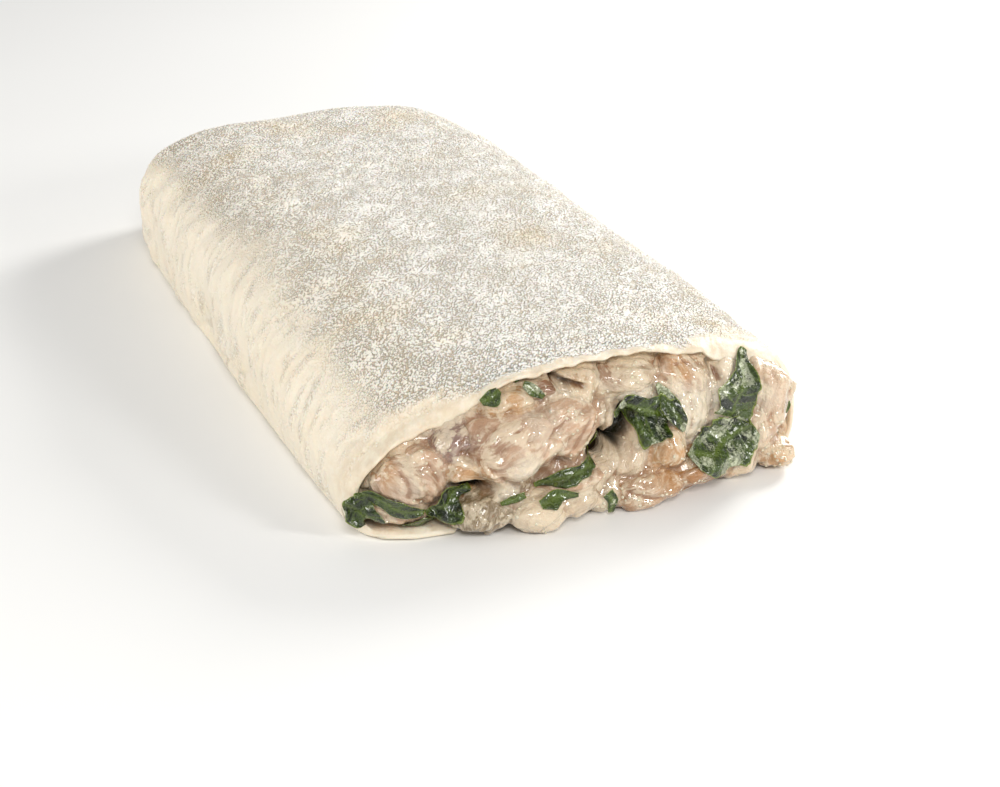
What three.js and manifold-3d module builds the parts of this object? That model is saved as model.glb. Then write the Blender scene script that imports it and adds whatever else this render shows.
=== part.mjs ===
// Chicken puff pastry: an unbaked log of puff pastry dough round a chicken and
// spinach filling, closed at one end and cut open at the other, laid on its flat
// underside. Millimetres, +Z up, +Y along the log away from the cut, +X across it.

import * as THREE from 'three';
import Module from 'manifold-3d';
import { mergeVertices } from 'three/addons/utils/BufferGeometryUtils.js';

const wasm = await Module();
wasm.setup();

// ---------------------------------------------------------------- driving sizes
const LENGTH = 304;                     // from the cut to the closed end
const HALF_WIDTH = [83.5, 80, 75.5];    // at the cut, half way, at the closed end
const HEIGHT = [50.5, 57, 50.5];        // crest above the table at the same places
const WIDEST_UP = 15;                   // height at which the sides are widest
const LEFT_CROWN = [1.75, 3.4];         // roundness of the left shoulder: cut, body
const RIGHT_CROWN = [3.0, 3.3];         // the same for the right shoulder
const CROWN_REACH = 0.4;                // share of the length over which it changes
const SIDE_TUCK = 0.06;                 // how far the sides draw in at the table
const BOW = -2.6;                       // sideways bow of the log, half way along
const END_ROUND = 54;                   // length over which the closed end rounds off
const END_POWER = 2.75;
const END_LEAST = { width: 0.45, top: 0.15, widest: 0.3 };   // shares left at the very end
const CUT_SKEW = -0.044;                // slant of the cut across the log

const DOUGH = 3.4;                      // thickness of the rolled dough
// How far the dough floor runs out past the cut: place across, distance.
const LIP = [[-84, -6], [-81, -4], [-77, 3], [-74, 7], [-64, 11.5], [-50, 13], [-42, 0]];
const LIP_FADE = 0.05;                  // share of the length over which it fades out
const LIP_UP = 14;                      // height to which the wall follows the lip
const LIP_END = -42;                    // right of this the floor ends at the cut
const GAP = 0.4;                        // between pieces that touch
const FLOOR_CLEAR = 0.3;                // underside of the spilled filling

// How far the filling has slumped out at the table: place across, distance.
const SPILL = [
  [-84, 5], [-70, 9], [-45, 15], [-20, 22], [5, 16], [25, 19], [50, 14], [80, 10]];
const SPILL_POWER = 0.8;
const CORE_SHARE = 0.55;                // the core follows this share of the slump
const CORE_SET_BACK = 9;                // and lies this far behind it
const CORE_GAP = 1;                     // between the core and the dough round it
const CORE_END = 0.94;                  // share of the lining's last step that the core fills
const CORE_FRONT = [1, 0.86, 0.62, 0.34];   // sizes of the rings that close its front
const CORE_BEHIND = 2;                  // its outermost ring stays this far behind the cut

const LEAF_THICK = 0.6;
const LEAF_STAND_OFF = 0.7;             // between a leaf and the meat it lies on
const LEAF_CLEAR = 1;                   // lowest place of a leaf above the table or dough

// ---------------------------------------------------------------- helpers
const clamp01 = (t) => Math.min(1, Math.max(0, t));
const mix = (a, b, t) => a + (b - a) * t;
const throughThree = ([a, b, c], t) => (
  a * (1 - t) * (1 - 2 * t) + b * 4 * t * (1 - t) + c * t * (2 * t - 1));

function between(table, x) {
  const next = table.findIndex(([place]) => place >= x);
  if (next < 0) return table.at(-1)[1];
  if (next === 0) return table[0][1];
  const [[x0, y0], [x1, y1]] = [table[next - 1], table[next]];
  return mix(y0, y1, (x - x0) / (x1 - x0));
}

// A repeatable wobble for one piece: three crossing waves whose phases come from its seed.
const WAVES = [[2.3, 0, 1.7], [-1.9, 2.9, 0], [0, 2.1, 3.1]];
const SCATTER = { seed: 12.9898, wave: 78.233, stretch: 43758.5453, turn: 6.283 };

function wobble(seed) {
  const scattered = (k) => Math.sin(seed * SCATTER.seed + (k + 1) * SCATTER.wave) * SCATTER.stretch;
  const phases = WAVES.map((_, k) => scattered(k) % SCATTER.turn);
  return (x, y, z) => WAVES.reduce((sum, [a, b, c], k) => (
    sum + Math.sin(a * x + b * y + c * z + phases[k])), 0) / WAVES.length;
}

function geometryFrom(positions, triangles) {
  const geometry = new THREE.BufferGeometry();
  geometry.setAttribute('position', new THREE.BufferAttribute(new Float32Array(positions), 3));
  geometry.setIndex(triangles);
  return geometry;
}

function solidFrom(geometry) {
  const bare = geometry.clone();
  bare.deleteAttribute('normal');
  bare.deleteAttribute('uv');
  const merged = mergeVertices(bare, 1e-4);
  return new wasm.Manifold(new wasm.Mesh({
    numProp: 3,
    vertProperties: new Float32Array(merged.attributes.position.array),
    triVerts: new Uint32Array(merged.index.array),
  }));
}

// The largest loose part of a solid, as geometry: cutting can leave small scraps.
function largestPart(solid) {
  const parts = solid.decompose();
  parts.sort((a, b) => b.volume() - a.volume());
  const mesh = parts[0].getMesh();
  return geometryFrom(mesh.vertProperties, [...mesh.triVerts]);
}

// Closes a stack of rings, each an array of [x, y, z], into one surface.
// Both ends are shut with a fan round the middle of the first and the last ring.
function skinOfRings(rings) {
  const positions = rings.flat(2);
  const around = rings[0].length;
  const triangles = [];
  for (let row = 0; row + 1 < rings.length; row++) {
    for (let k = 0; k < around; k++) {
      const a = row * around + k;
      const b = row * around + (k + 1) % around;
      triangles.push(a, b, b + around, a, b + around, a + around);
    }
  }
  const middle = (ring) => [0, 1, 2].map((i) => ring.reduce((sum, p) => sum + p[i], 0) / around);
  const last = (rings.length - 1) * around;
  const first = positions.length / 3;
  positions.push(...middle(rings[0]), ...middle(rings.at(-1)));
  for (let k = 0; k < around; k++) {
    const next = (k + 1) % around;
    triangles.push(first, next, k, first + 1, last + k, last + next);
  }
  return geometryFrom(positions, triangles);
}

// ---------------------------------------------------------------- the log's form
// One section across the log at share s of its length, drawn in by inset and cut
// off at the height floorUp. It runs over the top from right to left and back below.
const ARC_STEPS = 22;
const SIDE_STEPS = 3;
const FLOOR_STEPS = 8;
const FLOOR_CROWD = 1.5;                // floor points stand closer together on the left

function sectionSizes(s) {
  const past = clamp01((s * LENGTH - (LENGTH - END_ROUND)) / END_ROUND);
  const end = Math.max(0, 1 - past ** END_POWER) ** (1 / END_POWER);
  const crown = clamp01(s / CROWN_REACH);
  return {
    half: throughThree(HALF_WIDTH, s) * mix(END_LEAST.width, 1, end),
    top: throughThree(HEIGHT, s) * mix(END_LEAST.top, 1, end),
    widest: WIDEST_UP * mix(END_LEAST.widest, 1, end),
    left: mix(...LEFT_CROWN, crown),
    right: mix(...RIGHT_CROWN, crown),
    middle: BOW * 4 * s * (1 - s),
  };
}

function section(s, inset, floorUp) {
  const { half, top, widest, left, right, middle } = sectionSizes(s);
  const width = half - inset;
  const height = top - inset - widest;
  const points = [];
  for (let k = 0; k <= ARC_STEPS; k++) {
    const angle = Math.PI * k / ARC_STEPS;
    const c = Math.cos(angle);
    const power = 2 / (c > 0 ? right : left);
    points.push([middle + Math.sign(c) * Math.abs(c) ** power * width,
      widest + height * Math.max(0, Math.sin(angle)) ** power]);
  }
  const side = (sign, t) => {
    const tuck = SIDE_TUCK * (1 - Math.sqrt(1 - t * t));
    return [middle + sign * width * (1 - tuck), mix(widest, floorUp, t)];
  };
  for (let k = 1; k < SIDE_STEPS; k++) points.push(side(-1, k / SIDE_STEPS));
  for (let k = 0; k <= FLOOR_STEPS; k++) {
    const corner = width * (1 - SIDE_TUCK);
    points.push([middle + mix(-corner, corner, (k / FLOOR_STEPS) ** FLOOR_CROWD), floorUp]);
  }
  for (let k = SIDE_STEPS - 1; k > 0; k--) points.push(side(1, k / SIDE_STEPS));
  return points;
}

// Height of the cavity's roof at one place across the cut.
function roofAtCut(x) {
  const { half, top, widest, left, right } = sectionSizes(0);
  const share = Math.min(1, Math.abs(x) / (half - DOUGH));
  const power = x > 0 ? right : left;
  return widest + (top - DOUGH - widest) * (1 - share ** power) ** (1 / power);
}

// The dough floor runs out past the cut on the left, under the filling.
function lip(x, z) {
  return between(LIP, x) * clamp01(1 - z / LIP_UP) ** 2;
}

// ---------------------------------------------------------------- dough
// Shallow relief: a gentle unevenness all over, drag wrinkles down the far part of
// the left flank, and a pinch at its foot.
const SOFT = { height: 0.7, along: 0.045, slant: 0.03, across: 0.06, start: 1.1 };
const WRINKLES = { height: 0.8, left: 40, over: 35, from: 120, grow: 80 };
const WRINKLE_FINE = { along: 0.23, up: 0.11 };
const WRINKLE_BROAD = { along: 0.05, up: 0.2 };
const PINCH = { depth: 4.5, at: 168, half: 13, left: 60, over: 18, up: 26 };

function doughRelief(x, y, z) {
  const soft = Math.sin(SOFT.along * y + SOFT.slant * x) * Math.sin(SOFT.across * x + SOFT.start);
  const flank = clamp01((-x - WRINKLES.left) / WRINKLES.over)
    * clamp01((y - WRINKLES.from) / WRINKLES.grow);
  const wave = ({ along, up }) => Math.sin(along * y + up * z);
  const wrinkles = flank * wave(WRINKLE_FINE) * wave(WRINKLE_BROAD);
  const foot = clamp01((-x - PINCH.left) / PINCH.over) * clamp01(1 - z / PINCH.up);
  const pinch = Math.exp(-(((y - PINCH.at) / PINCH.half) ** 2)) * foot;
  return SOFT.height * soft + WRINKLES.height * wrinkles - PINCH.depth * pinch;
}

const DOUGH_ROWS = 20;
const ROW_CROWD = 0.35;                 // 0 spaces the rows evenly, more crowds the closed end
const LINING_ROWS = 7;
const LINING_CROWD = 0.7;
const END_WALL = 2.2;                   // thickness of the closed end, in sheets of dough
const RIM_ROUND = 1.2;                  // the cut edge of the dough is rounded off by this
// The relief fades out near the cut, the closed end and the table.
const RELIEF_FADE = { cut: 0.04, end: 0.03, up: 12 };
const OUTWARD = { across: 80, up: 40 }; // half sizes of the oval whose direction it follows

// Rings round the cavity, from the cut to its closed end, drawn in by inset.
function cavityRings(inset) {
  const end = 1 - END_WALL * DOUGH / LENGTH;
  return Array.from({ length: LINING_ROWS + 1 }, (_, row) => {
    const t = row / LINING_ROWS;
    const s = end * mix(t, 1 - (1 - t) ** 2, LINING_CROWD);
    return section(s, inset, inset).map(([x, z]) => [x, s * LENGTH + CUT_SKEW * x * (1 - s), z]);
  });
}

function doughShell() {
  // Rows are closer together near the cut and where the end rounds off.
  const outerPlace = (row) => {
    const t = row / DOUGH_ROWS;
    return mix(t, 1 - (1 - t) ** 2, ROW_CROWD);
  };
  const rings = [];
  for (let row = DOUGH_ROWS; row >= 0; row--) {
    const s = outerPlace(row);
    const skew = CUT_SKEW * (1 - s);
    rings.push(section(s, 0, 0).map(([x, z]) => {
      const y = s * LENGTH + skew * x - lip(x, z) * clamp01(1 - s / LIP_FADE);
      const fade = clamp01(s / RELIEF_FADE.cut) * clamp01((1 - s) / RELIEF_FADE.end);
      const swell = z > 0 ? doughRelief(x, y, z) * fade : 0;
      const [across, up] = [x / OUTWARD.across, z / OUTWARD.up];
      const out = Math.hypot(across, up) || 1;
      return [x + swell * across / out, y, z + swell * clamp01(z / RELIEF_FADE.up) * up / out];
    }));
  }
  const lining = cavityRings(DOUGH);
  lining[0] = lining[0].map(([x, y, z]) => [x, y - lip(x, z), z]);
  const rim = section(0, RIM_ROUND, RIM_ROUND).map(([x, z]) => [x, CUT_SKEW * x - lip(x, z), z]);
  rings[DOUGH_ROWS] = rings[DOUGH_ROWS].map(([x, y, z]) => [x, y + 2 * RIM_ROUND, z]);
  return skinOfRings([...rings, rim, ...lining]);
}

// ---------------------------------------------------------------- filling core
function slump(x, z) {
  return between(SPILL, x) * clamp01(1 - z / roofAtCut(x)) ** SPILL_POWER;
}

// The core is the part of the filling that runs through the log behind the pieces
// that show at the cut. grow makes it a little larger, for cutting its neighbours.
function core(grow) {
  const inset = DOUGH + CORE_GAP - grow;
  const rings = cavityRings(inset);
  const lastButOne = rings.at(-2);
  const shortened = (point, k) => point.map((value, i) => mix(lastButOne[k][i], value, CORE_END));
  rings[rings.length - 1] = rings.at(-1).map(shortened);
  const middleUp = HEIGHT[0] / 2;
  const front = CORE_FRONT.map((share) => section(0, inset, inset).map(([x, z]) => {
    const across = x * share;
    const up = mix(middleUp, z, share);
    const y = CORE_SET_BACK - grow - CORE_SHARE * slump(across, up) + CUT_SKEW * across;
    return [across, share === 1 ? Math.max(y, CORE_BEHIND - grow) : y, up];
  }));
  return skinOfRings([...rings.reverse().slice(0, -1), ...front]);
}

// ---------------------------------------------------------------- chicken pieces
// Each piece is one or more uneven ovals at a place on the cut face: across and up
// give its middle, size its half width, half height and half depth, tilt turns it in
// the face, and out moves it towards the viewer. Pieces listed first lie in front.
const CHICKEN = [
  { name: 'chicken_big', lobes: [
    { across: -27, up: 27, size: [17, 10.5, 13], tilt: 8, out: 3 },
    { across: -10, up: 30, size: [12.4, 9.5, 12], tilt: 22, out: 1 },
    { across: -36, up: 31, size: [11, 6.5, 11], tilt: 14, out: -1 }] },
  { name: 'chicken_hook', lobes: [
    { across: 9.5, up: 30, size: [5.5, 6, 8], tilt: 0, out: 0 },
    { across: 14, up: 23.5, size: [6, 7.5, 9], tilt: 12, out: 1 },
    { across: 9.5, up: 16.5, size: [8, 5.5, 9], tilt: 30, out: 1 },
    { across: 0, up: 12.8, size: [8.5, 4.8, 9], tilt: 12, out: 0 }] },
  { name: 'chicken_left', lobes: [
    { across: -64, up: 20, size: [13, 8, 10], tilt: -14, out: 2 },
    { across: -58, up: 25, size: [7, 5.5, 8], tilt: -30, out: 1 },
    { across: -66, up: 9, size: [11.4, 5, 8], tilt: -8, out: -3 }] },
  { name: 'chicken_knob', lobes: [
    { across: 25, up: 17.5, size: [7.5, 7, 10], tilt: 0, out: 2 }] },
  { name: 'chicken_low_middle', lobes: [
    { across: -24, up: 6, size: [10, 6, 10], tilt: 4, out: 1 },
    { across: -10, up: 7, size: [9, 5.5, 10], tilt: 14, out: 0 },
    { across: 1, up: 5, size: [6, 5.5, 8], tilt: 6, out: -1 }] },
  { name: 'chicken_strip', lobes: [
    { across: -9, up: 13.8, size: [11.6, 3.8, 9], tilt: 15, out: 0.5 }] },
  { name: 'chicken_low_right', lobes: [
    { across: 18, up: 6, size: [14, 6.5, 12], tilt: 3, out: 1 },
    { across: 34, up: 8, size: [13, 6.5, 11], tilt: 14, out: 0 }] },
  { name: 'chicken_low_left', lobes: [
    { across: -41, up: 6.5, size: [11, 6.5, 10], tilt: 6, out: 1 },
    { across: -33, up: 12, size: [8, 4.5, 8], tilt: 6, out: -2 }] },
  { name: 'chicken_under_strand', lobes: [
    { across: -43, up: 20, size: [11, 5, 9], tilt: -12, out: -1 }] },
  { name: 'chicken_dark', lobes: [
    { across: -48, up: 30, size: [8, 6, 9], tilt: 18, out: 0 }] },
  { name: 'chicken_top_left', lobes: [
    { across: -27, up: 40, size: [9, 4.6, 8], tilt: 8, out: 0 }] },
  { name: 'chicken_top_dark', lobes: [
    { across: -15, up: 42, size: [6, 4, 7], tilt: -8, out: -2 }] },
  { name: 'chicken_top_middle', lobes: [
    { across: -3.5, up: 41.5, size: [7.5, 5.8, 9], tilt: 0, out: 0 }] },
  { name: 'chicken_top', lobes: [
    { across: 14, up: 41.5, size: [12, 5.8, 9], tilt: -2, out: 0 }] },
  { name: 'chicken_top_right', lobes: [
    { across: 35, up: 37.5, size: [10.5, 8.5, 9], tilt: -24, out: 0 }] },
  { name: 'chicken_middle', lobes: [
    { across: 17, up: 33, size: [12, 8, 8], tilt: 0, out: -2 }] },
  { name: 'chicken_right_strand', lobes: [
    { across: 35, up: 26, size: [9, 11, 9], tilt: -10, out: -1 }] },
  { name: 'chicken_end', lobes: [
    { across: 67, up: 27, size: [11, 13, 11], tilt: -8, out: 3 },
    { across: 62, up: 16, size: [9, 9, 10], tilt: 0, out: 1 }] },
  { name: 'chicken_behind_leaf', lobes: [
    { across: 52, up: 27, size: [11, 14, 9], tilt: -6, out: -1 }] },
  { name: 'chicken_crumbly', lobes: [
    { across: 70, up: 5.6, size: [6.5, 4.8, 7], tilt: 4, out: 1 }] },
  { name: 'chicken_low_end', lobes: [
    { across: 53, up: 8, size: [9, 8, 10], tilt: 10, out: 0 }] },
  { name: 'chicken_corner', lobes: [
    { across: -76, up: 20.5, size: [4.5, 3.6, 6], tilt: 30, out: -2 }] },
];
const LUMP = 0.13;                      // unevenness, as a share of a piece's size
const LUMP_FINE = 2;                    // waves of it over a piece
const BLUNT = 2.5;                      // 2 is a true oval, more is squarer
const SMALL_LOBE = 12;                  // lobes of this half width or less have fewer faces
const LOBE_BEHIND = 0.72;               // a lobe's middle lies this share of its depth inside
const OPEN_FRONT = 4;                   // how far in a leaf may sink where there is no meat
const SEEDS = { first: 3, step: 10 };

function lobePlace({ across, up, size, out }) {
  return [across, CUT_SKEW * across - slump(across, up) - out + LOBE_BEHIND * size[2], up];
}

function lobeSolid(lobe, seed, grow) {
  const [halfWide, halfHigh, halfDeep] = lobe.size.map((half) => half + grow);
  const geometry = new THREE.IcosahedronGeometry(1, lobe.size[0] > SMALL_LOBE ? 2 : 1);
  const points = geometry.attributes.position;
  const uneven = wobble(seed);
  for (let k = 0; k < points.count; k++) {
    const [x, y, z] = [points.getX(k), points.getY(k), points.getZ(k)];
    const blunt = (Math.abs(x) ** BLUNT + Math.abs(y) ** BLUNT + Math.abs(z) ** BLUNT) ** (-1 / BLUNT);
    const swell = blunt * (1 + LUMP * uneven(LUMP_FINE * x, LUMP_FINE * y, LUMP_FINE * z));
    points.setXYZ(k, x * halfWide * swell, y * halfDeep * swell, z * halfHigh * swell);
  }
  geometry.rotateY(-THREE.MathUtils.degToRad(lobe.tilt));
  geometry.translate(...lobePlace(lobe));
  return solidFrom(geometry);
}

function pieceSolid({ lobes }, seed, grow) {
  return lobes.map((lobe, k) => lobeSolid(lobe, seed + k, grow)).reduce((sum, next) => sum.add(next));
}

// Where the front of the meat lies at one place on the cut face.
function meatFront(x, z) {
  let front = CUT_SKEW * x + OPEN_FRONT;
  for (const { lobes } of CHICKEN) {
    for (const lobe of lobes) {
      const [middleX, middleY, middleZ] = lobePlace(lobe);
      const turn = THREE.MathUtils.degToRad(lobe.tilt);
      const along = (x - middleX) * Math.cos(turn) + (z - middleZ) * Math.sin(turn);
      const over = (z - middleZ) * Math.cos(turn) - (x - middleX) * Math.sin(turn);
      const inside = 1 - Math.abs(along / lobe.size[0]) ** BLUNT - Math.abs(over / lobe.size[1]) ** BLUNT;
      if (inside <= 0) continue;
      front = Math.min(front, middleY - lobe.size[2] * (1 + LUMP / 2) * inside ** (1 / BLUNT));
    }
  }
  return front;
}

// The room that the filling has: the cavity, carried on out past the cut, and in
// front of the cut also the space down to the table, except over the dough lip.
const ROOM_LONG = 60;
const ROOM_LOW = 20;                    // height of the room in front of the cut

function fillingRoom() {
  const inset = DOUGH + GAP;
  const cavity = [1, 0].map((s) => section(0, inset, inset).map(([x, z]) => (
    [x, (s ? ROOM_LONG : -ROOM_LONG) + CUT_SKEW * x, z])));
  const right = HALF_WIDTH[0] * (1 - SIDE_TUCK) - DOUGH;
  const low = new THREE.BoxGeometry(right - LIP_END, ROOM_LONG, ROOM_LOW);
  const front = -ROOM_LONG / 2 - GAP + CUT_SKEW * right;
  low.translate((right + LIP_END) / 2, front, ROOM_LOW / 2 + FLOOR_CLEAR);
  return solidFrom(skinOfRings(cavity)).add(solidFrom(low));
}

const room = fillingRoom();
const coreSolid = solidFrom(core(0));
const coreAhead = coreSolid.translate([0, -GAP, 0]);
let taken = solidFrom(core(GAP)).add(coreSolid).add(coreAhead);   // what later pieces are cut to fit

function chickenPiece(piece, order) {
  const seed = SEEDS.step * order + SEEDS.first;
  const geometry = largestPart(pieceSolid(piece, seed, 0).intersect(room).subtract(taken));
  taken = taken.add(pieceSolid(piece, seed, GAP));
  return geometry;
}

// ---------------------------------------------------------------- spinach leaves
// A leaf runs along a path on the cut face, [across, up] from its base to its tip, and
// rests on the meat behind it. Its widths to the left and right of the path are given
// for each point of the path; one list is enough where both sides are alike.
const SPINACH = [
  { name: 'spinach_right_upper', wave: 1,
    path: [[50, 24], [53, 31], [57, 38], [60.5, 44.5]], left: [8, 6.5, 4.5, 1.2], right: [8, 8, 6, 1.2] },
  { name: 'spinach_right_lower', wave: 0.8,
    path: [[58, 21], [50, 17], [41, 14], [31.5, 16.5]], left: [4, 9.5, 6.5, 0.6], right: [3, 6.5, 7.5, 0.6] },
  { name: 'spinach_middle', wave: 1.4,
    path: [[6, 32], [13, 33], [20, 30], [26, 27]], left: [1.2, 3.8, 6.5, 5.5], right: [1.2, 3.5, 9, 3.5] },
  { name: 'spinach_middle_tip', wave: 0.6,
    path: [[24, 40], [26.5, 35], [29, 29.5], [31, 24]], left: [0.6, 2.2, 2.2, 0.5] },
  { name: 'spinach_strip', wave: 0.5,
    path: [[1, 22.5], [-5, 19.3], [-13, 16.8], [-23, 14]], left: [1.6, 1.7, 1.9, 0.7] },
  { name: 'spinach_strip_end', wave: 0.3,
    path: [[-28, 13.2], [-32, 12.8], [-37, 12.4]], left: [0.9, 1.4, 0.8] },
  { name: 'spinach_left', wave: 1.2,
    path: [[-86, 15.5], [-82, 12.5], [-79, 9.5], [-76, 7.5]], left: [0.8, 4.5, 5, 2.5] },
  { name: 'spinach_left_strip', wave: 0.6,
    path: [[-82, 17.5], [-75, 16.5], [-69, 12.5], [-61, 10.2]], left: [1.2, 2.4, 2.4, 1] },
  { name: 'spinach_left_fold', wave: 1.2,
    path: [[-60.5, 10.5], [-54.5, 11.5], [-50, 15], [-44.5, 16.2]],
    left: [0.8, 3, 4, 0.8],
    right: [0.8, 5, 3.2, 0.8] },
  { name: 'spinach_floor', wave: 0.4, path: [[-68, 4.6], [-62, 5.4], [-56, 6]], left: [0.9, 2.2, 0.9] },
  { name: 'spinach_rim', wave: 0.3, path: [[-40, 43], [-37, 44], [-33, 46.5]], left: [1, 2.4, 0.9] },
  { name: 'spinach_top', wave: 0.3,
    path: [[-25, 46], [-22.5, 44.5], [-19.5, 42.5]], left: [1, 2.4, 0.9] },
  { name: 'spinach_low', wave: 0.4,
    path: [[-25, 11.3], [-18, 12.3], [-11, 11.8]], left: [0.9, 1.9, 0.9] },
  { name: 'spinach_low_end', wave: 0.4, path: [[0.5, 9], [2, 6], [1.5, 1.8]], left: [2.6, 2, 0.8] },
];
const LEAF_ALONG = 6;
const LEAF_ACROSS = 3;
const LEAF_PULLS = 40;                  // passes that draw a leaf taut over the hollows
const LEAF_FRILL = 0.12;                // unevenness of its outline
const FRILL_WAVES = { along: 5, turn: 3 };
const LIFT_WAVES = { along: 6, across: 2.5 };
const doughSolid = solidFrom(doughShell());

// The foremost meat close to a place, or the cut edge of the dough beyond the cavity.
function leafBed(x, z) {
  const reach = 1.5;
  const near = [[0, 0], [reach, 0], [-reach, 0], [0, reach], [0, -reach]];
  const beyond = Math.abs(x) > HALF_WIDTH[0] - 2 * DOUGH || z > roofAtCut(x) - DOUGH;
  const edge = beyond ? CUT_SKEW * x - lip(x, z) : Infinity;
  return Math.min(edge, ...near.map(([dx, dz]) => meatFront(x + dx, z + dz)));
}

// A stiff leaf spans the hollows of its bed like a skin pulled tight over it.
function pulledTaut(bed) {
  let now = bed.map((row) => [...row]);
  const at = (i, j) => now[Math.min(LEAF_ALONG, Math.max(0, i))][Math.min(LEAF_ACROSS, Math.max(0, j))];
  for (let pass = 0; pass < LEAF_PULLS; pass++) {
    now = now.map((row, i) => row.map((_, j) => (
      Math.min(bed[i][j], (at(i - 1, j) + at(i + 1, j) + at(i, j - 1) + at(i, j + 1)) / 4))));
  }
  return now;
}

function leafSolid({ path, left, right = left, wave }, seed, grow) {
  const spine = new THREE.CatmullRomCurve3(path.map(([x, z]) => new THREE.Vector3(x, 0, z)));
  const uneven = wobble(seed);
  const places = [];
  for (let row = 0; row <= LEAF_ALONG; row++) {
    const t = row / LEAF_ALONG;
    const middle = spine.getPoint(t);
    const run = spine.getTangent(t);
    const widthAt = (widths) => between(widths.map((value, k) => [k / (widths.length - 1), value]), t);
    const width = { left: widthAt(left), right: widthAt(right) };
    places.push([]);
    for (let column = 0; column <= LEAF_ACROSS; column++) {
      const side = 2 * column / LEAF_ACROSS - 1;
      const frill = 1 + LEAF_FRILL * uneven(FRILL_WAVES.along * t, side, FRILL_WAVES.turn * t);
      const reach = side * (side > 0 ? width.left : width.right) * frill;
      const x = middle.x - run.z * reach;
      const z = Math.max(x < LIP_END ? DOUGH + LEAF_CLEAR : LEAF_CLEAR, middle.z + run.x * reach);
      const turn = LIFT_WAVES.along * t + LIFT_WAVES.across * side + seed;
      const lift = wave * (1 + Math.sin(turn)) / 2 + LEAF_STAND_OFF;
      places[row].push({ x, z, lift });
    }
  }
  const bed = pulledTaut(places.map((row) => row.map(({ x, z }) => leafBed(x, z))));
  const faces = [[], []];
  places.forEach((row, i) => row.forEach(({ x, z, lift }, j) => {
    const back = bed[i][j] - lift;
    faces[0].push(x, back - LEAF_THICK - grow, z);
    faces[1].push(x, back + grow, z);
  }));
  const count = (LEAF_ALONG + 1) * (LEAF_ACROSS + 1);
  const wide = LEAF_ACROSS + 1;
  const triangles = [];
  for (let row = 0; row < LEAF_ALONG; row++) {
    for (let column = 0; column < LEAF_ACROSS; column++) {
      const a = row * wide + column;
      const b = a + 1;
      const c = a + wide;
      const d = c + 1;
      triangles.push(a, d, b, a, c, d);
      triangles.push(count + a, count + b, count + d, count + a, count + d, count + c);
    }
  }
  const edge = [];
  for (let column = 0; column < LEAF_ACROSS; column++) edge.push(column);
  for (let row = 0; row < LEAF_ALONG; row++) edge.push(row * wide + LEAF_ACROSS);
  for (let column = LEAF_ACROSS; column > 0; column--) edge.push(LEAF_ALONG * wide + column);
  for (let row = LEAF_ALONG; row > 0; row--) edge.push(row * wide);
  edge.forEach((a, k) => {
    const b = edge[(k + 1) % edge.length];
    triangles.push(a, b, count + a, b, count + b, count + a);
  });
  return solidFrom(geometryFrom([...faces[0], ...faces[1]], triangles));
}

function spinachLeaf(leaf, order) {
  const geometry = largestPart(leafSolid(leaf, order, 0).subtract(taken).subtract(doughSolid));
  taken = taken.add(leafSolid(leaf, order, GAP));
  return geometry;
}

// ---------------------------------------------------------------- the part
const finish = (color, roughness) => new THREE.MeshStandardMaterial({ color, roughness, metalness: 0 });
const doughFinish = () => finish(0xe9dfc6, 0.75);
const fillingFinish = () => finish(0xdcc3a0, 0.35);
const chickenFinish = () => finish(0xdfc19c, 0.28);
const spinachFinish = () => finish(0x2f5a1e, 0.4);

const pastry = new THREE.Group();
function addPiece(name, geometry, material) {
  const mesh = new THREE.Mesh(geometry, material);
  mesh.name = name;
  pastry.add(mesh);
}

addPiece('dough', doughShell(), doughFinish());
addPiece('filling', core(0), fillingFinish());
CHICKEN.forEach((piece, k) => addPiece(piece.name, chickenPiece(piece, k), chickenFinish()));
SPINACH.forEach((leaf, k) => addPiece(leaf.name, spinachLeaf(leaf, k), spinachFinish()));

// The part's origin is under the middle of its box, on the table.
const box = new THREE.Box3().setFromObject(pastry);
const middle = box.getCenter(new THREE.Vector3());
pastry.position.set(-middle.x, -middle.y, -box.min.z);

export default pastry;
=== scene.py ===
# %% [markdown]
# # An unbaked chicken puff pastry
# A sheet of rolled dough is wrapped round a wet filling of chicken, spinach and cream, and
# its near end is cut open. Three finishes meet here: matt dough under a coat of flour, glossy
# meat in sauce, and dark leaves. The imported model is loaded first, because every piece has to
# lie where its solid lies. The dough solid's box is read, so that its left side can be compared with
# the log's.

# %% Load the imported model
import itertools
import math

import bmesh
import bpy
import numpy as np
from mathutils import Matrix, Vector
from mathutils.bvhtree import BVHTree
from mathutils.kdtree import KDTree


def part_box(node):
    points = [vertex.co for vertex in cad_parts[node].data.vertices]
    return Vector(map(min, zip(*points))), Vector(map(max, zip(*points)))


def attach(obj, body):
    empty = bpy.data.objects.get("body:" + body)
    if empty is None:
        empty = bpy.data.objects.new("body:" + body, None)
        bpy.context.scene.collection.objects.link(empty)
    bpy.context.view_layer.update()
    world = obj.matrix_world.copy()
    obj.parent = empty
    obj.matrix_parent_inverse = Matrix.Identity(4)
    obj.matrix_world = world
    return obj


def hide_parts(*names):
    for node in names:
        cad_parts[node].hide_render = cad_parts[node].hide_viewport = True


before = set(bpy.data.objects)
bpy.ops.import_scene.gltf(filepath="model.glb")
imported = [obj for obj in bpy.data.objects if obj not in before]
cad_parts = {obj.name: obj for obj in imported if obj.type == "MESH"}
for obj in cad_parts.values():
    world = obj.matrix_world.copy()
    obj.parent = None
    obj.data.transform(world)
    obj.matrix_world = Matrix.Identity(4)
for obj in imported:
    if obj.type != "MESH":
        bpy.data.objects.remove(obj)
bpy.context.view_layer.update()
MM = 0.001

# %% [markdown]
# ## The form of the log
# The log isn't a plain tube. It is wider and flatter than it is high, its left shoulder slopes
# where the filling is thin, and its closed end rounds off. A section across it is drawn with a
# superellipse, whose power says how square a shoulder is. The powers and sizes change along
# the log, so one function gives every section. It repeats the solids' own rule, in metres.

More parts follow.
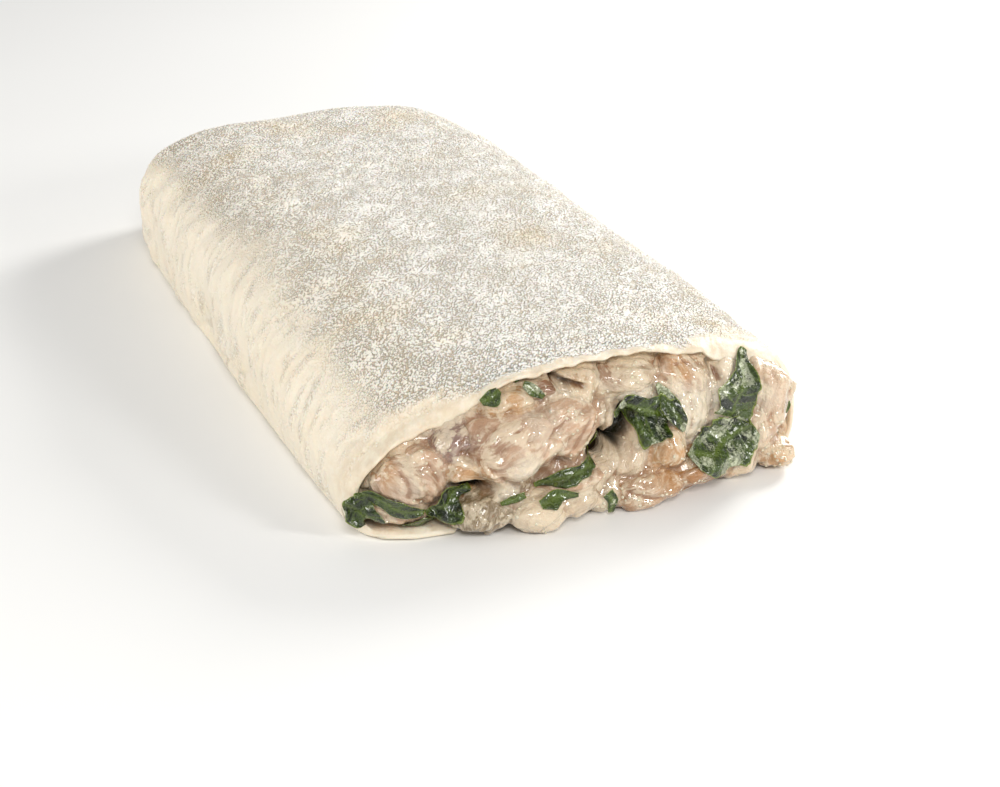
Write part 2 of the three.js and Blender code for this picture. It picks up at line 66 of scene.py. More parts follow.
# %% Sizes of the log
LENGTH = 0.304
HALF_WIDTH = (0.0835, 0.080, 0.0755)     # at the cut, half way, at the closed end
HEIGHT = (0.0505, 0.057, 0.0505)
WIDEST_UP = 0.015
LEFT_CROWN = (1.75, 3.4)                 # at the cut, and from CROWN_REACH on
RIGHT_CROWN = (3.0, 3.3)
CROWN_REACH = 0.4
SIDE_TUCK = 0.06
BOW = -0.0026
END_ROUND = 0.054
END_POWER = 2.75
END_SHARES = (0.45, 0.15, 0.3)           # what is left of width, height and widest place
CUT_SKEW = -0.044
DOUGH = 0.0034
LIP = np.array([[-84, -6], [-81, -4], [-77, 3], [-74, 7], [-64, 11.5], [-50, 13], [-42, 0]]) * MM
LIP_UP = 0.014
LIP_FADE = 0.05


def share(value):
    return np.clip(value, 0.0, 1.0)


def blend_between(a, b, t):
    return a + (b - a) * t


def through_three(values, s):
    near, middle, far = values
    return near * (1 - s) * (1 - 2 * s) + middle * 4 * s * (1 - s) + far * s * (2 * s - 1)


def sizes_at(s):
    """Half width, height, widest place, two crown powers and sideways place at share s."""
    past = share((s * LENGTH - (LENGTH - END_ROUND)) / END_ROUND)
    end = max(0.0, 1 - past ** END_POWER) ** (1 / END_POWER)
    crown = share(s / CROWN_REACH)
    half, top, widest = (blend_between(least, 1, end) for least in END_SHARES)
    return (through_three(HALF_WIDTH, s) * half, through_three(HEIGHT, s) * top,
            WIDEST_UP * widest, blend_between(*LEFT_CROWN, crown),
            blend_between(*RIGHT_CROWN, crown), BOW * 4 * s * (1 - s))


def lip_out(x, z):
    """How far the dough floor runs out past the cut at one place across and up."""
    return np.interp(x, LIP[:, 0], LIP[:, 1]) * share(1 - z / LIP_UP) ** 2


def evenly_along(path, count):
    """The same path with its points evenly spaced."""
    run = np.concatenate([[0], np.cumsum(np.linalg.norm(np.diff(path, axis=0), axis=1))])
    places = np.linspace(0, run[-1], count)
    return np.stack([np.interp(places, run, column) for column in path.T], axis=1)


def section(s, inset, over, under):
    """A closed section (x, z): up the right side, over the top, down the left, back below."""
    half, top, widest, left, right, middle = sizes_at(s)
    angle = np.linspace(0, math.pi, 1500)[1:-1]
    power = 2 / np.where(np.cos(angle) > 0, right, left)
    crown = np.stack([np.sign(np.cos(angle)) * abs(np.cos(angle)) ** power * (half - inset),
                      widest + (top - inset - widest) * np.sin(angle) ** power], axis=1)
    t = np.linspace(0, 1, 60)
    out = (half - inset) * (1 - SIDE_TUCK * (1 - np.sqrt(1 - t * t)))
    up = blend_between(widest, inset, t)
    right_side = np.stack([out, up], axis=1)[::-1]
    left_side = np.stack([-out, up], axis=1)
    arch = evenly_along(np.concatenate([right_side, crown, left_side]), over)
    floor = np.stack([np.linspace(-out[-1], out[-1], under + 2)[1:-1], np.full(under, inset)], axis=1)
    return np.concatenate([arch, floor]) + np.array([middle, 0])


widest_left = min(section(s, 0, 400, 2)[:, 0].min() for s in np.linspace(0, 0.5, 40))
dough_low, dough_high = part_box("dough")
print("left side of the log in mm:", round(widest_left / MM, 1), "solid:", round(dough_low.x / MM, 1))

# %% [markdown]
# ## The camera
# The photograph is taken from the left of the cut, looking down a little, with a long lens from
# about seventy centimetres. Its place is worked out from the log's own straight lines, and is
# given from the middle of the cut on the table. The frame's width and the lens's focal length
# in pixels give Blender's lens in millimetres. There is no shift and no depth of field.

# %% Where the cut is, and the camera
FRAME_WIDTH = 1000
FOCAL_PIXELS = 2050
SENSOR = 36.0
CAMERA_AT = Vector((-0.28285, -0.54379, 0.345))
CAMERA_HEADING = 24.85
CAMERA_PITCH = 26.6

cut = Vector((0, dough_high.y - LENGTH, 0))
cut.x = dough_low.x - widest_left


def aim_camera():
    lens = bpy.data.cameras.new("camera")
    lens.sensor_width = SENSOR
    lens.lens = FOCAL_PIXELS * SENSOR / FRAME_WIDTH
    camera = bpy.data.objects.new("camera", lens)
    bpy.context.collection.objects.link(camera)
    camera.location = cut + CAMERA_AT
    camera.rotation_euler = (math.radians(90 - CAMERA_PITCH), 0, math.radians(-CAMERA_HEADING))
    bpy.context.scene.camera = camera


aim_camera()
print("middle of the cut in mm:", [round(value / MM, 2) for value in cut])

# %% [markdown]
# ## Meshes from numbers
# Food has few straight edges, so most of its surface is made by moving the points of a fine
# mesh. That is quick when all points are one array. These helpers make a piece from arrays or
# from a bmesh, read its points and normals back as arrays, and move or mark them.

# %% Helpers that make pieces
SAME_POINT = 1e-6


def as_piece(name, data):
    """A new object in the scene, for a mesh or a lamp."""
    piece = bpy.data.objects.new(name, data)
    bpy.context.collection.objects.link(piece)
    return piece


def made(name, points, faces):
    mesh = bpy.data.meshes.new(name)
    mesh.from_pydata(np.asarray(points).tolist(), [], [tuple(face) for face in faces])
    mesh.validate()
    mesh.shade_smooth()
    return as_piece(name, mesh)


def from_bmesh(name, work):
    """A piece whose mesh is the finished bmesh, which is then freed."""
    mesh = bpy.data.meshes.new(name)
    work.to_mesh(mesh)
    work.free()
    return as_piece(name, mesh)


def merged_copy(node, name):
    """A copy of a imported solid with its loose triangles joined; the solid itself isn't touched."""
    source = bmesh.new()
    source.from_mesh(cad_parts[node].data)
    bmesh.ops.remove_doubles(source, verts=source.verts, dist=SAME_POINT)
    return from_bmesh(name, source)


def joined_copy(name, pieces):
    whole = bmesh.new()
    for piece in pieces:
        whole.from_mesh(piece.data)
    return from_bmesh(name, whole)


print("makers of pieces ready")

# %% Helpers that read and move points
TABLE_GAP = 0.0002                       # the filling stays this far above the table


def points_of(piece):
    points = np.empty(len(piece.data.vertices) * 3, np.float32)
    piece.data.vertices.foreach_get("co", points)
    return points.reshape(-1, 3).astype(float)


def from_cut(piece):
    """A piece's points, measured from the middle of the cut."""
    return points_of(piece) - np.array(cut)


def normals_of(piece):
    normals = np.empty(len(piece.data.vertices) * 3, np.float32)
    piece.data.vertex_normals.foreach_get("vector", normals)
    return normals.reshape(-1, 3).astype(float)


def move_points(piece, points):
    piece.data.vertices.foreach_set("co", points.astype(np.float32).ravel())
    piece.data.update()


def swell(piece, amount):
    """Moves every point along its normal, by one amount or by one for each point."""
    move_points(piece, points_of(piece) + normals_of(piece) * np.reshape(amount, (-1, 1)))


def onto_table(piece):
    """Lifts the points that have sunk into the table."""
    points = points_of(piece)
    points[:, 2] = np.maximum(points[:, 2], TABLE_GAP)
    move_points(piece, points)


print("movers of points ready")

# %% Helpers that store values and finish meshes
def keep(piece, name, values):
    """Stores one value, vector or colour a point, for the finish to read."""
    kind, field = ("FLOAT", "value") if values.ndim == 1 else ("FLOAT_VECTOR", "vector")
    attribute = piece.data.attributes.new(name, kind, "POINT")
    attribute.data.foreach_set(field, values.astype(np.float32).ravel())


def applied(piece, kind, **settings):
    """Adds a modifier, keeps what it makes and takes it off again."""
    modifier = piece.modifiers.new(kind, kind)
    for setting, value in settings.items():
        setattr(modifier, setting, value)
    graph = bpy.context.evaluated_depsgraph_get()
    result = bpy.data.meshes.new_from_object(piece.evaluated_get(graph))
    piece.modifiers.remove(modifier)
    old, piece.data = piece.data, result
    bpy.data.meshes.remove(old)
    piece.data.shade_smooth()


def facing_out(piece):
    """Turns all faces round if the mesh is inside out."""
    solid = bmesh.new()
    solid.from_mesh(piece.data)
    bmesh.ops.recalc_face_normals(solid, faces=solid.faces)
    if solid.calc_volume(signed=True) < 0:
        bmesh.ops.reverse_faces(solid, faces=solid.faces)
    solid.to_mesh(piece.data)
    solid.free()
    piece.data.shade_smooth()
    return piece


print("finishers of meshes ready")

# %% [markdown]
# ## Noise on points
# Unevenness comes from gradient noise, as in Blender's own Noise Texture: a lattice of random
# slopes, blended smoothly. Worked out here with numpy, it can move a hundred thousand points
# at once, and the same numbers can also decide where cream or flour lies. The cell noise under
# it makes bundles, as of muscle. The seed is fixed, so that each run gives the same pastry.

# %% Gradient noise
draw = np.random.default_rng(20)
ORDER = np.tile(draw.permutation(256), 3)
SLOPES = draw.normal(size=(256, 3))
SLOPES /= np.linalg.norm(SLOPES, axis=1, keepdims=True)
SPOTS = draw.random((256, 3))


def noise(points, size, seed=0):
    """A smooth value for each point, about -1 to 1, whose lumps are about size across."""
    places = points / np.asarray(size) + np.array([seed * 3.7, seed * 1.3, seed * 7.1])
    cell = np.floor(places).astype(int)
    part = places - cell
    fade = part ** 3 * (part * (part * 6 - 15) + 10)
    total = np.zeros(len(points))
    for corner in itertools.product((0, 1), repeat=3):
        x, y, z = ((cell + corner) % 256).T
        slope = SLOPES[ORDER[ORDER[ORDER[x] + y] + z]]
        weight = np.prod(np.where(corner, fade, 1 - fade), axis=1)
        total += weight * np.einsum("ij,ij->i", part - corner, slope)
    return total * 1.6


def layers(points, size, count, seed=0):
    """Noise with finer and weaker layers on top."""
    return sum(noise(points, np.asarray(size) / 2 ** k, seed + k) / 2 ** k for k in range(count))


print("noise range:", np.round(np.percentile(noise(draw.random((4000, 3)) * 9, 1), [1, 50, 99]), 2))

# %% Bundles, steps and paths
def bundles(points, size, seed=0):
    """0 on the walls between random cells, rising to about 1 in their middles."""
    places = points / np.asarray(size) + seed * 1.7
    cell = np.floor(places).astype(int)
    nearest, second = np.full(len(points), 9.0), np.full(len(points), 9.0)
    for offset in itertools.product((-1, 0, 1), repeat=3):
        x, y, z = ((cell + offset) % 256).T
        spot = cell + offset + SPOTS[ORDER[ORDER[ORDER[x] + y] + z]]
        distance = np.linalg.norm(spot - places, axis=1)
        second = np.minimum(second, np.maximum(nearest, distance))
        nearest = np.minimum(nearest, distance)
    return share((second - nearest) * 1.6)


def step_up(value, low, high):
    """0 below low, 1 above high and smooth between."""
    t = share((value - low) / (high - low))
    return t * t * (3 - 2 * t)


def from_path(places, path):
    """The distance of each place from a path in millimetres, both flat and in the same plane."""
    path = np.array(path) * MM
    least = np.full(len(places), 1.0)
    for a, b in zip(path[:-1], path[1:]):
        along = share(((places - a) @ (b - a)) / ((b - a) @ (b - a)))
        least = np.minimum(least, np.linalg.norm(places - a - along[:, None] * (b - a), axis=1))
    return least


def ridges(places, marks):
    """The height at each place of marks that each have a height, a half width and a path."""
    return sum(height * MM * np.exp(-(from_path(places, path) / (half * MM)) ** 2)
               for height, half, path in marks)


print("a step at 0, 0.25, 0.5 and 1:", step_up(np.array([0, 0.25, 0.5, 1]), 0, 1))

# %% [markdown]
# ## Finishes as expressions
# A Blender material is a tree of nodes. Long trees are hard to read as code, so one small class
# wraps a socket and overloads plus, minus and times: 1 - mask then adds a Math node by itself.
# Everything else goes through one method, which takes the node's type, its settings, and the
# values or links of its sockets.

# %% A small language for finishes
class Wire:
    """An output socket that can be used in Python expressions."""

    def __init__(self, finish, socket):
        self.finish = finish
        self.socket = socket

    def maths(self, operation, *values):
        return self.finish.node("ShaderNodeMath", {"operation": operation}, dict(enumerate(values)))

    def __add__(self, other):
        return self.maths("ADD", self, other)

    def __sub__(self, other):
        return self.maths("SUBTRACT", self, other)

    def __rsub__(self, other):
        return self.maths("SUBTRACT", other, self)

    def __mul__(self, other):
        return self.maths("MULTIPLY", self, other)

    __radd__ = __add__
    __rmul__ = __mul__


class Finish:
    """One material and the nodes that make it."""

    def __init__(self, name):
        self.material = bpy.data.materials.new(name)
        self.material.use_nodes = True
        self.tree = self.material.node_tree
        self.tree.nodes.clear()

    def node(self, kind, settings=None, inputs=None, output=0):
        """Adds a node, sets its settings and then its sockets, and gives one of its outputs."""
        node = self.tree.nodes.new(kind)
        for name, value in (settings or {}).items():
            setattr(node, name, value)
        for name, value in (inputs or {}).items():
            if isinstance(value, Wire):
                self.tree.links.new(value.socket, node.inputs[name])
            else:
                node.inputs[name].default_value = value
        return Wire(self, node.outputs[output]) if node.outputs else None

    def place(self):
        """The point on the object in metres."""
        return self.node("ShaderNodeTexCoord", output="Object")

    def attribute(self, name, output="Fac"):
        """A value that keep() stored on the points."""
        return self.node("ShaderNodeAttribute", {"attribute_name": name}, output=output)

    def speckle(self, at, size, detail=2.0, rough=0.5):
        """Soft noise, 0 to 1, whose spots are about size across."""
        return self.node("ShaderNodeTexNoise", inputs={
            "Vector": at, "Scale": 1 / size, "Detail": detail, "Roughness": rough})

    def between(self, value, low, high):
        """0 below low, 1 above high."""
        return self.node("ShaderNodeMapRange", {"interpolation_type": "SMOOTHSTEP"},
                         {"Value": value, "From Min": low, "From Max": high})

    def mixed(self, factor, first, second):
        """A colour between two colours, by the Mix node's sockets for colours."""
        return self.node("ShaderNodeMix", {"data_type": "RGBA"}, {0: factor, 6: first, 7: second}, 2)

    def bump(self, height, distance, strength=1.0):
        """A normal bent by a height, in which 1 stands for the distance in metres."""
        return self.node("ShaderNodeBump", inputs={
            "Height": height, "Distance": distance, "Strength": strength})

    def surface(self, **inputs):
        """Ends the tree in one Principled BSDF and returns the material."""
        shader = self.node("ShaderNodeBsdfPrincipled", inputs={
            name.replace("_", " "): value for name, value in inputs.items()})
        self.node("ShaderNodeOutputMaterial", inputs={"Surface": shader})
        return self.material


def colour(red, green, blue):
    """Blender's linear colour from the 0 to 255 values that a paint program shows."""
    return tuple((value / 255) ** 2.2 for value in (red, green, blue)) + (1.0,)


print("colour of flour:", [round(value, 3) for value in colour(232, 229, 220)])

# %% [markdown]
# ## The dough
# The dough is one closed shell: an outer skin, a rounded rim at the cut, and a lining round the
# filling. Its rings are drawn with the section rule, with evenly spaced points, because a
# superellipse leaves wide gaps on its flat top. Rows are spaced evenly along the crest too, so
# that they crowd where the closed end turns down. At the cut the sheet rolls in over its rim,
# and its inner edge hangs down on the filling here and there, as a torn sheet does.

# %% Sizes of the dough's mesh and rim
OVER = 226                               # points over the top of one section
UNDER = 34                               # points along its underside
ROWS = 312
LINING_ROWS = 14
RIM_STEPS = 13
EDGE_STEPS = 4
RIM_DEPTH = 0.0075                       # the outside starts to curl over this far back
RIM_EDGE = 0.0016                        # thickness of the very edge
END_RINGS = (0.8, 0.55, 0.3)             # the closed end's last rings, as shares of its edge
POLE = 1e-4                              # a ring of this share closes a skin
END_WALL = 2.2                           # thickness of the closed end, in sheets of dough
LINING_CROWD = 1.6                       # the lining's rows crowd towards the cut
# How far the rim's inner edge hangs down on the filling: place across, drop.
DROOP = np.array([[-83, 0], [-76, -2.0], [-69, -1.2], [-60, 0.6], [-51, 2.2], [-42, 1.8],
                  [-37, 0.6], [-33, -2.2], [-22, -2.6], [-11, -2.0], [4, -2.5], [11, -2.9],
                  [19, -2.7], [27, -2.2], [34, -0.4], [44, 0.2], [51, 3.0], [58, 3.6],
                  [66, 2.4], [74, 2.4], [80, 2.0]]) * MM
DROOP_FADE = 0.03
WAVE_FADE = 0.022                        # the edge's waves die out this far back
print("points in a ring:", OVER + UNDER)

# %% Rings of the outer skin, the rim and the lining
def crest_shares(count):
    """Shares of the length whose rows are evenly spaced along the crest and down the end."""
    dense = np.sort(np.concatenate([np.linspace(0, 1, 400), 1 - np.geomspace(1e-6, 0.2, 600)]))
    crest = np.array([[s * LENGTH, sizes_at(s)[1]] for s in dense])
    even = evenly_along(np.column_stack([crest, dense]), count)
    return even[:, 2]


def ring(s, inset, back):
    """One ring of points at share s, drawn in by inset and set back along the log."""
    flat = section(s, inset, OVER, UNDER)
    x, z = flat.T
    y = s * LENGTH + CUT_SKEW * x * (1 - s) - lip_out(x, z) * share(1 - s / LIP_FADE) + back
    return np.stack([x, y, z], axis=1)


def drooped(points, amount):
    """The inner side of the rim hangs down on the filling, fading out behind the cut."""
    x, y, z = points.T
    places = np.stack([x, x * 0, z * 0], axis=1)
    above = step_up(z, 0.004, 0.018)
    drop = np.interp(x, DROOP[:, 0], DROOP[:, 1]) + layers(places, 0.008, 3, 51) * 0.0012
    back = layers(places, 0.016, 3, 55) * 0.0016 * share(1 - y / WAVE_FADE) * above
    return np.stack([x, y + back, z - drop * amount * above * share(1 - y / DROOP_FADE)], axis=1)


def dough_rings():
    rings = []
    for scale in (POLE,) + END_RINGS[::-1]:
        last = ring(1.0, 0, 0)
        rings.append(last.mean(axis=0) + (last - last.mean(axis=0)) * scale)
    shares = [s for s in crest_shares(ROWS) if s * LENGTH > RIM_DEPTH]
    rings += [drooped(ring(s, 0, 0), 0) for s in shares[::-1]]
    sunk = DOUGH - RIM_EDGE / 2
    for turn in np.linspace(0, math.pi / 2, RIM_STEPS)[:-1]:
        curl = ring(0.0, sunk * (1 - math.cos(turn)), RIM_DEPTH * (1 - math.sin(turn)))
        rings.append(drooped(curl, math.sin(turn) ** 2))
    for turn in np.linspace(0, math.pi / 2, EDGE_STEPS):
        edge = ring(0.0, sunk + RIM_EDGE / 2 * math.sin(turn), RIM_EDGE / 2 * (1 - math.cos(turn)))
        rings.append(drooped(edge, 1))
    depth = 1 - END_WALL * DOUGH / LENGTH
    for t in np.linspace(0, 1, LINING_ROWS + 1)[1:]:
        rings.append(drooped(ring(depth * t ** LINING_CROWD, DOUGH, RIM_EDGE / 2), 1))
    rings.append(rings[-1].mean(axis=0) + (rings[-1] - rings[-1].mean(axis=0)) * POLE)
    return np.array(rings)


rings = dough_rings()
print("rings:", len(rings))

# %% The dough's skin
def skin_faces(rings):
    """Four-sided faces of a skin through a stack of rings."""
    rows, around = rings.shape[:2]
    row, column = np.meshgrid(np.arange(rows - 1), np.arange(around), indexing="ij")
    beside = (column + 1) % around
    faces = np.stack([row * around + column, row * around + beside,
                      (row + 1) * around + beside, (row + 1) * around + column], axis=-1)
    return faces.reshape(-1, 4)


dough = made("dough_sheet", rings.reshape(-1, 3) + np.array(cut), skin_faces(rings))
facing_out(dough)
outer_count = (len(rings) - LINING_ROWS - 1 - EDGE_STEPS) * (OVER + UNDER)
print("dough:", len(dough.data.polygons), "faces,", outer_count, "points outside")

# %% [markdown]
# ## Creases and folds
# Dough that was lifted over a filling keeps soft creases, and its flank shows the folds where
# it was tucked under. A crease is a path, and the points near it move along their normals by
# a bell curve of the distance. Slow noise adds the dents of fingers, and noise stretched
# across the log the marks of a brush. The last formula is the solid's own relief.

# %% Paths of the creases
# Seen from above, in millimetres across and along from the cut: height, half width, path.
CREASES = [
    (-0.55, 1.0, [(-70, 144), (-67.6, 147.4), (-61.4, 148.8), (-54, 150), (-48, 149)]),
    (0.35, 1.6, [(-68, 151.5), (-61, 152.5), (-53, 153.5)]),
    (-0.7, 0.8, [(-40.3, 197.5), (-43, 190), (-42.5, 182.4)]),
    (-0.6, 1.3, [(-46.4, 242.5), (-42, 244.8)]),
    (0.5, 3.5, [(-80, 190), (-66, 172), (-50, 165), (-36, 166), (-22, 174)]),
    (-0.4, 2.5, [(-78, 181), (-62, 168), (-46, 159), (-34, 160)]),
    (0.45, 2.2, [(-32, 168), (-14, 179), (4, 181), (20, 178)]),
    (-0.35, 1.6, [(-30, 163), (-13, 174), (4, 176.5), (20, 174)]),
    (0.35, 2.5, [(-28, 205), (-8, 214), (14, 213), (36, 206)]),
    (-0.3, 2.0, [(-30, 200), (-8, 208.5), (14, 208), (36, 201)]),
    (-0.35, 1.4, [(-79, 172), (-70, 180), (-63, 190)]), (-0.35, 1.4, [(-76, 250), (-65, 267)]),
    (-0.35, 1.5, [(-80, 136), (-70, 144)]), (-0.35, 1.4, [(-80, 118), (-71, 127), (-66, 131)]),
    (-0.3, 1.4, [(-82, 98), (-75, 105), (-70, 108)]), (-0.45, 0.9, [(-78, 83), (-73, 86)]),
    (-0.5, 1.1, [(-78, 20), (-70.8, 9.5), (-62, 8.5), (-51, 7.5), (-38, 6), (-30, 6)]),
    (0.35, 1.8, [(-78, 25), (-70, 15), (-60, 13), (-48, 11)]),
    (-0.35, 0.9, [(-82, 30), (-77, 22)]), (-0.35, 0.9, [(-83, 44), (-78, 33)]),
    (0.9, 1.1, [(-78, 257), (-76, 262), (-70.5, 267.5), (-62, 269), (-51, 266.5)]),
    (-0.6, 1.0, [(-75, 256), (-73, 260), (-68.5, 264.3), (-62, 265.6), (-52, 263.5)]),
]
# On the left flank, along from the cut and up: height, half width, path.
FLANK_FOLDS = [
    (-2.0, 1.3, [(143, 7), (128, 10), (113, 11.5)]), (1.1, 2.4, [(146, 12), (130, 14.5), (112, 16)]),
    (-0.6, 1.2, [(113, 11.5), (104, 18), (98, 26)]),
]
print("creases:", len(CREASES), "folds:", len(FLANK_FOLDS))

# %% The dough's relief
def dough_relief(at):
    """How far the dough stands out at each point, in metres: the solid's own relief."""
    x, y, z = (at / MM).T
    soft = 0.7 * np.sin(0.045 * y + 0.03 * x) * np.sin(0.06 * x + 1.1)
    flank = share((-x - 40) / 35) * share((y - 120) / 80)
    wrinkles = 0.8 * flank * np.sin(0.23 * y + 0.11 * z) * np.sin(0.05 * y + 0.2 * z)
    pinch = -4.5 * np.exp(-((y - 168) / 13) ** 2) * share((-x - 60) / 18) * share(1 - z / 26)
    return (soft + wrinkles + pinch) * MM


def shape_dough():
    at = from_cut(dough)
    outside = np.arange(len(at)) < outer_count
    from_rim = at[:, 1] - CUT_SKEW * at[:, 0]
    from_end = LENGTH - at[:, 1]
    above = step_up(at[:, 2], 0.0, 0.006)
    free = outside * share(from_rim / 0.012) * share(from_end / 0.009) * above
    dents = layers(at, 0.045, 2, 3) * 0.0009 + layers(at, (0.03, 0.011, 0.02), 2, 5) * 0.00045
    brushed = layers(at, (0.012, 0.0035, 0.006), 2, 8) * 0.00018
    creases = ridges(at[:, :2], CREASES) * step_up(at[:, 2], 0.012, 0.024)
    folds = ridges(at[:, 1:], FLANK_FOLDS) * step_up(-at[:, 0], 0.05, 0.07)
    swell(dough, free * (dough_relief(at) + dents + brushed) + outside * (creases + folds))


shape_dough()
print("dough box in mm:", np.round(np.ptp(points_of(dough), axis=0) / MM, 1).tolist())

# %% [markdown]
# ## Where the flour lies
# Flour is dusted from above, so it lies thick on top, thins out over the shoulders and leaves
# only a faint dust on the steep left flank. A hand has brushed it into streaks across the log,
# and a band before the cut is bare, where the filling's damp has soaked it up. The amount is one
# number a point. It colours the dough, and it decides how many grains lie there. Two more
# numbers say where the dough is damp, and where it shows warmer through the flour.

# %% The flour's amount at each point
# Places where the dough looks warmer, in millimetres: across, along from the cut, and radius.
WARM = [(-52, 85, 12), (-45, 61, 9), (-61, 96, 8), (-58, 66, 8), (24, 96, 11), (59, 15, 8),
        (-53, 226, 12), (-14, 251, 14), (36, 248, 12)]
# Across, and how far back from the cut the dough is bare, in millimetres.
BARE = np.array([[-84, 14], [-70, 11], [-45, 7.5], [-30, 3.5], [-10, 2], [35, 2], [50, 6],
                 [65, 12], [84, 14]]) * MM


def flour_amount():
    at = from_cut(dough)
    up = normals_of(dough)[:, 2]
    outside = np.arange(len(at)) < outer_count
    from_rim = at[:, 1] - CUT_SKEW * at[:, 0] + layers(at, 0.012, 3, 31) * 0.004
    bare = np.interp(at[:, 0], BARE[:, 0], BARE[:, 1])
    from_left = at[:, 0] + noise(at, (0.03, 0.012, 0.02), 33) * 0.004
    sheer = up + noise(at, (0.02, 0.012, 0.02), 34) * 0.35
    on_top = np.minimum(step_up(sheer, -0.1, 0.9), step_up(from_left, -0.084, -0.046))
    streaks = 0.85 + 0.28 * layers(at, (0.05, 0.008, 0.03), 3, 35)
    patches = 0.9 + 0.35 * layers(at, 0.045, 2, 37)
    amount = on_top * streaks * patches * step_up(from_rim / bare, 0.4, 2.0)
    dust = step_up(layers(at, (0.012, 0.004, 0.012), 3, 39), -0.5, 0.9) * 0.32
    amount = np.maximum(amount, dust * step_up(from_rim, 0.001, 0.008))
    return np.where(outside & (at[:, 2] > 0.004), share(amount), 0.0)


def damp_amount():
    at = from_cut(dough)
    from_rim = at[:, 1] - CUT_SKEW * at[:, 0] + noise(at, 0.012, 61) * 0.004
    outside = np.arange(len(at)) < outer_count
    soaked = (1 - step_up(from_rim, 0.004, 0.024)) * step_up(at[:, 2], 0.004, 0.02)
    return np.where(outside, soaked, 1.0)


def warm_amount():
    at = from_cut(dough)
    ragged = 1 + 0.4 * layers(at, 0.012, 2, 63)
    warm = 0.45 * (1 - step_up(at[:, 0], -0.065, -0.02))
    for across, along, radius in WARM:
        away = np.hypot(at[:, 0] - across * MM, at[:, 1] - along * MM) * ragged / (radius * MM)
        warm = np.maximum(warm, 0.8 * np.exp(-away ** 2))
    return warm


flour = flour_amount()
keep(dough, "flour", flour)
keep(dough, "warm", warm_amount())
keep(dough, "damp", damp_amount())
print("flour covers", round(float(flour.mean()) * 100), "% of the dough's points on average")

# %% [markdown]
# ## The look of floured dough
# Pressed flour is a layer of tiny soft pebbles with darker gaps, far too many to model. In a
# Voronoi Texture each pebble is a cell, and its distance value grows from the pebble's middle
# to the gap. A Mapping node stretches the cells at a slant, as a brush leaves them, and slow
# noise makes some patches fuller than others. The same value drives the bump and picks the
# colour, whose darker gaps are painted shade between the pebbles. Noise with a hard threshold
# is the simpler way, but its threads look like hair.

# %% The dough's finish
PEBBLES = 1300.0                         # cells a metre
BRUSH_TURN = 0.9                         # the slant of the pebbles, in radians
BRUSH_STRETCH = (1.45, 1.0, 1.2)
TONES = {
    "dough": colour(240, 228, 204), "cream": colour(247, 239, 222),
    "warm": colour(234, 208, 172), "damp": colour(226, 208, 180),
    # gap and warm gap: painted shade in the gaps between the flour's pebbles
    "gap": colour(209, 197, 177), "warm gap": colour(210, 189, 156),
    "flour": colour(254, 250, 241), "warm flour": colour(250, 238, 216),
}


def dough_finish():
    finish = Finish("raw_dough")
    at = finish.place()
    flour = finish.attribute("flour")
    brushed = finish.node("ShaderNodeMapping", {"vector_type": "TEXTURE"}, {
        "Vector": at, "Rotation": (0.0, 0.0, BRUSH_TURN), "Scale": BRUSH_STRETCH})
    gap = finish.node("ShaderNodeTexVoronoi", inputs={"Vector": brushed, "Scale": PEBBLES})
    clump = finish.speckle(brushed, 0.0032, 2, 0.5)
    drift = finish.speckle(brushed, 0.011, 4, 0.6)
    pebble = finish.between(1.05 - gap + (clump - 0.5) * 0.5 + (drift - 0.5) * 0.6, 0.14, 0.66)
    cover = finish.between(flour + (pebble - 0.5) * 0.3, 0.0, 0.8)
    patch = finish.speckle(at, 0.03, 3, 0.55)
    warm = finish.between(finish.speckle(at, 0.022, 3), 0.5, 0.72) * 0.5 + finish.attribute("warm")
    damp = finish.attribute("damp") * finish.between(clump, 0.2, 0.7)
    fresh = finish.mixed(patch, TONES["dough"], TONES["cream"])
    fresh = finish.mixed(warm * 0.3, fresh, TONES["warm"])
    fresh = finish.mixed(damp, fresh, TONES["damp"])
    # Painted shade: the gaps between the pebbles take the darker gap colours.
    low = finish.mixed(warm, TONES["gap"], TONES["warm gap"])
    high = finish.mixed(warm, TONES["flour"], TONES["warm flour"])
    dusted = finish.mixed(pebble, low, high)
    height = (pebble * finish.between(flour, 0.0, 0.6) + clump * 0.5
              + finish.speckle(at, 0.0005, 2) * 0.1)
    return finish.surface(
        Base_Color=finish.mixed(cover, fresh, dusted),
        Roughness=finish.between(flour, 0, 0.5) * 0.35 + 0.48,
        Normal=finish.bump(height, 0.0012, 1.0),
        Subsurface_Weight=0.2, Subsurface_Radius=(1.0, 0.6, 0.35), Subsurface_Scale=0.002)


dough.data.materials.append(dough_finish())
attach(dough, "root")
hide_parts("dough")
print("dough finished")

# %% [markdown]
# ## The meat
# Raw chicken in a cream sauce is soft, wet and slightly see-through. Every piece keeps the form
# of its solid: a copy is rebuilt with small even cells by a voxel remesh, which rounds it
# slightly, and then relief is added. Muscle is made of bundles that run one way, so the cell
# noise that shapes a piece is stretched along its grain. The folds, strands and deep gaps that
# tell one piece from another are marks on the cut face, each a path with a width and a height.

# %% Colours and grain of each piece
MEAT = {                                 # the colours of meat and of what lies on it
    "rose": colour(202, 165, 134),
    "pale": colour(212, 188, 158),
    "cream": colour(232, 218, 196),
    "tan": colour(200, 154, 106),
    "brown": colour(138, 96, 66),
    "plum": colour(150, 121, 108),
    "grey": colour(140, 120, 90),
    "orange": colour(198, 146, 90),
    "russet": colour(168, 118, 70),
    # hole: near black, painted shade for the deep holes
    "hole": colour(26, 26, 12),
    # groove: a browner colour painted into the grooves as shade
    "groove": colour(146, 98, 60),
    "streak": colour(240, 222, 196),
    "film": colour(238, 220, 190),
}
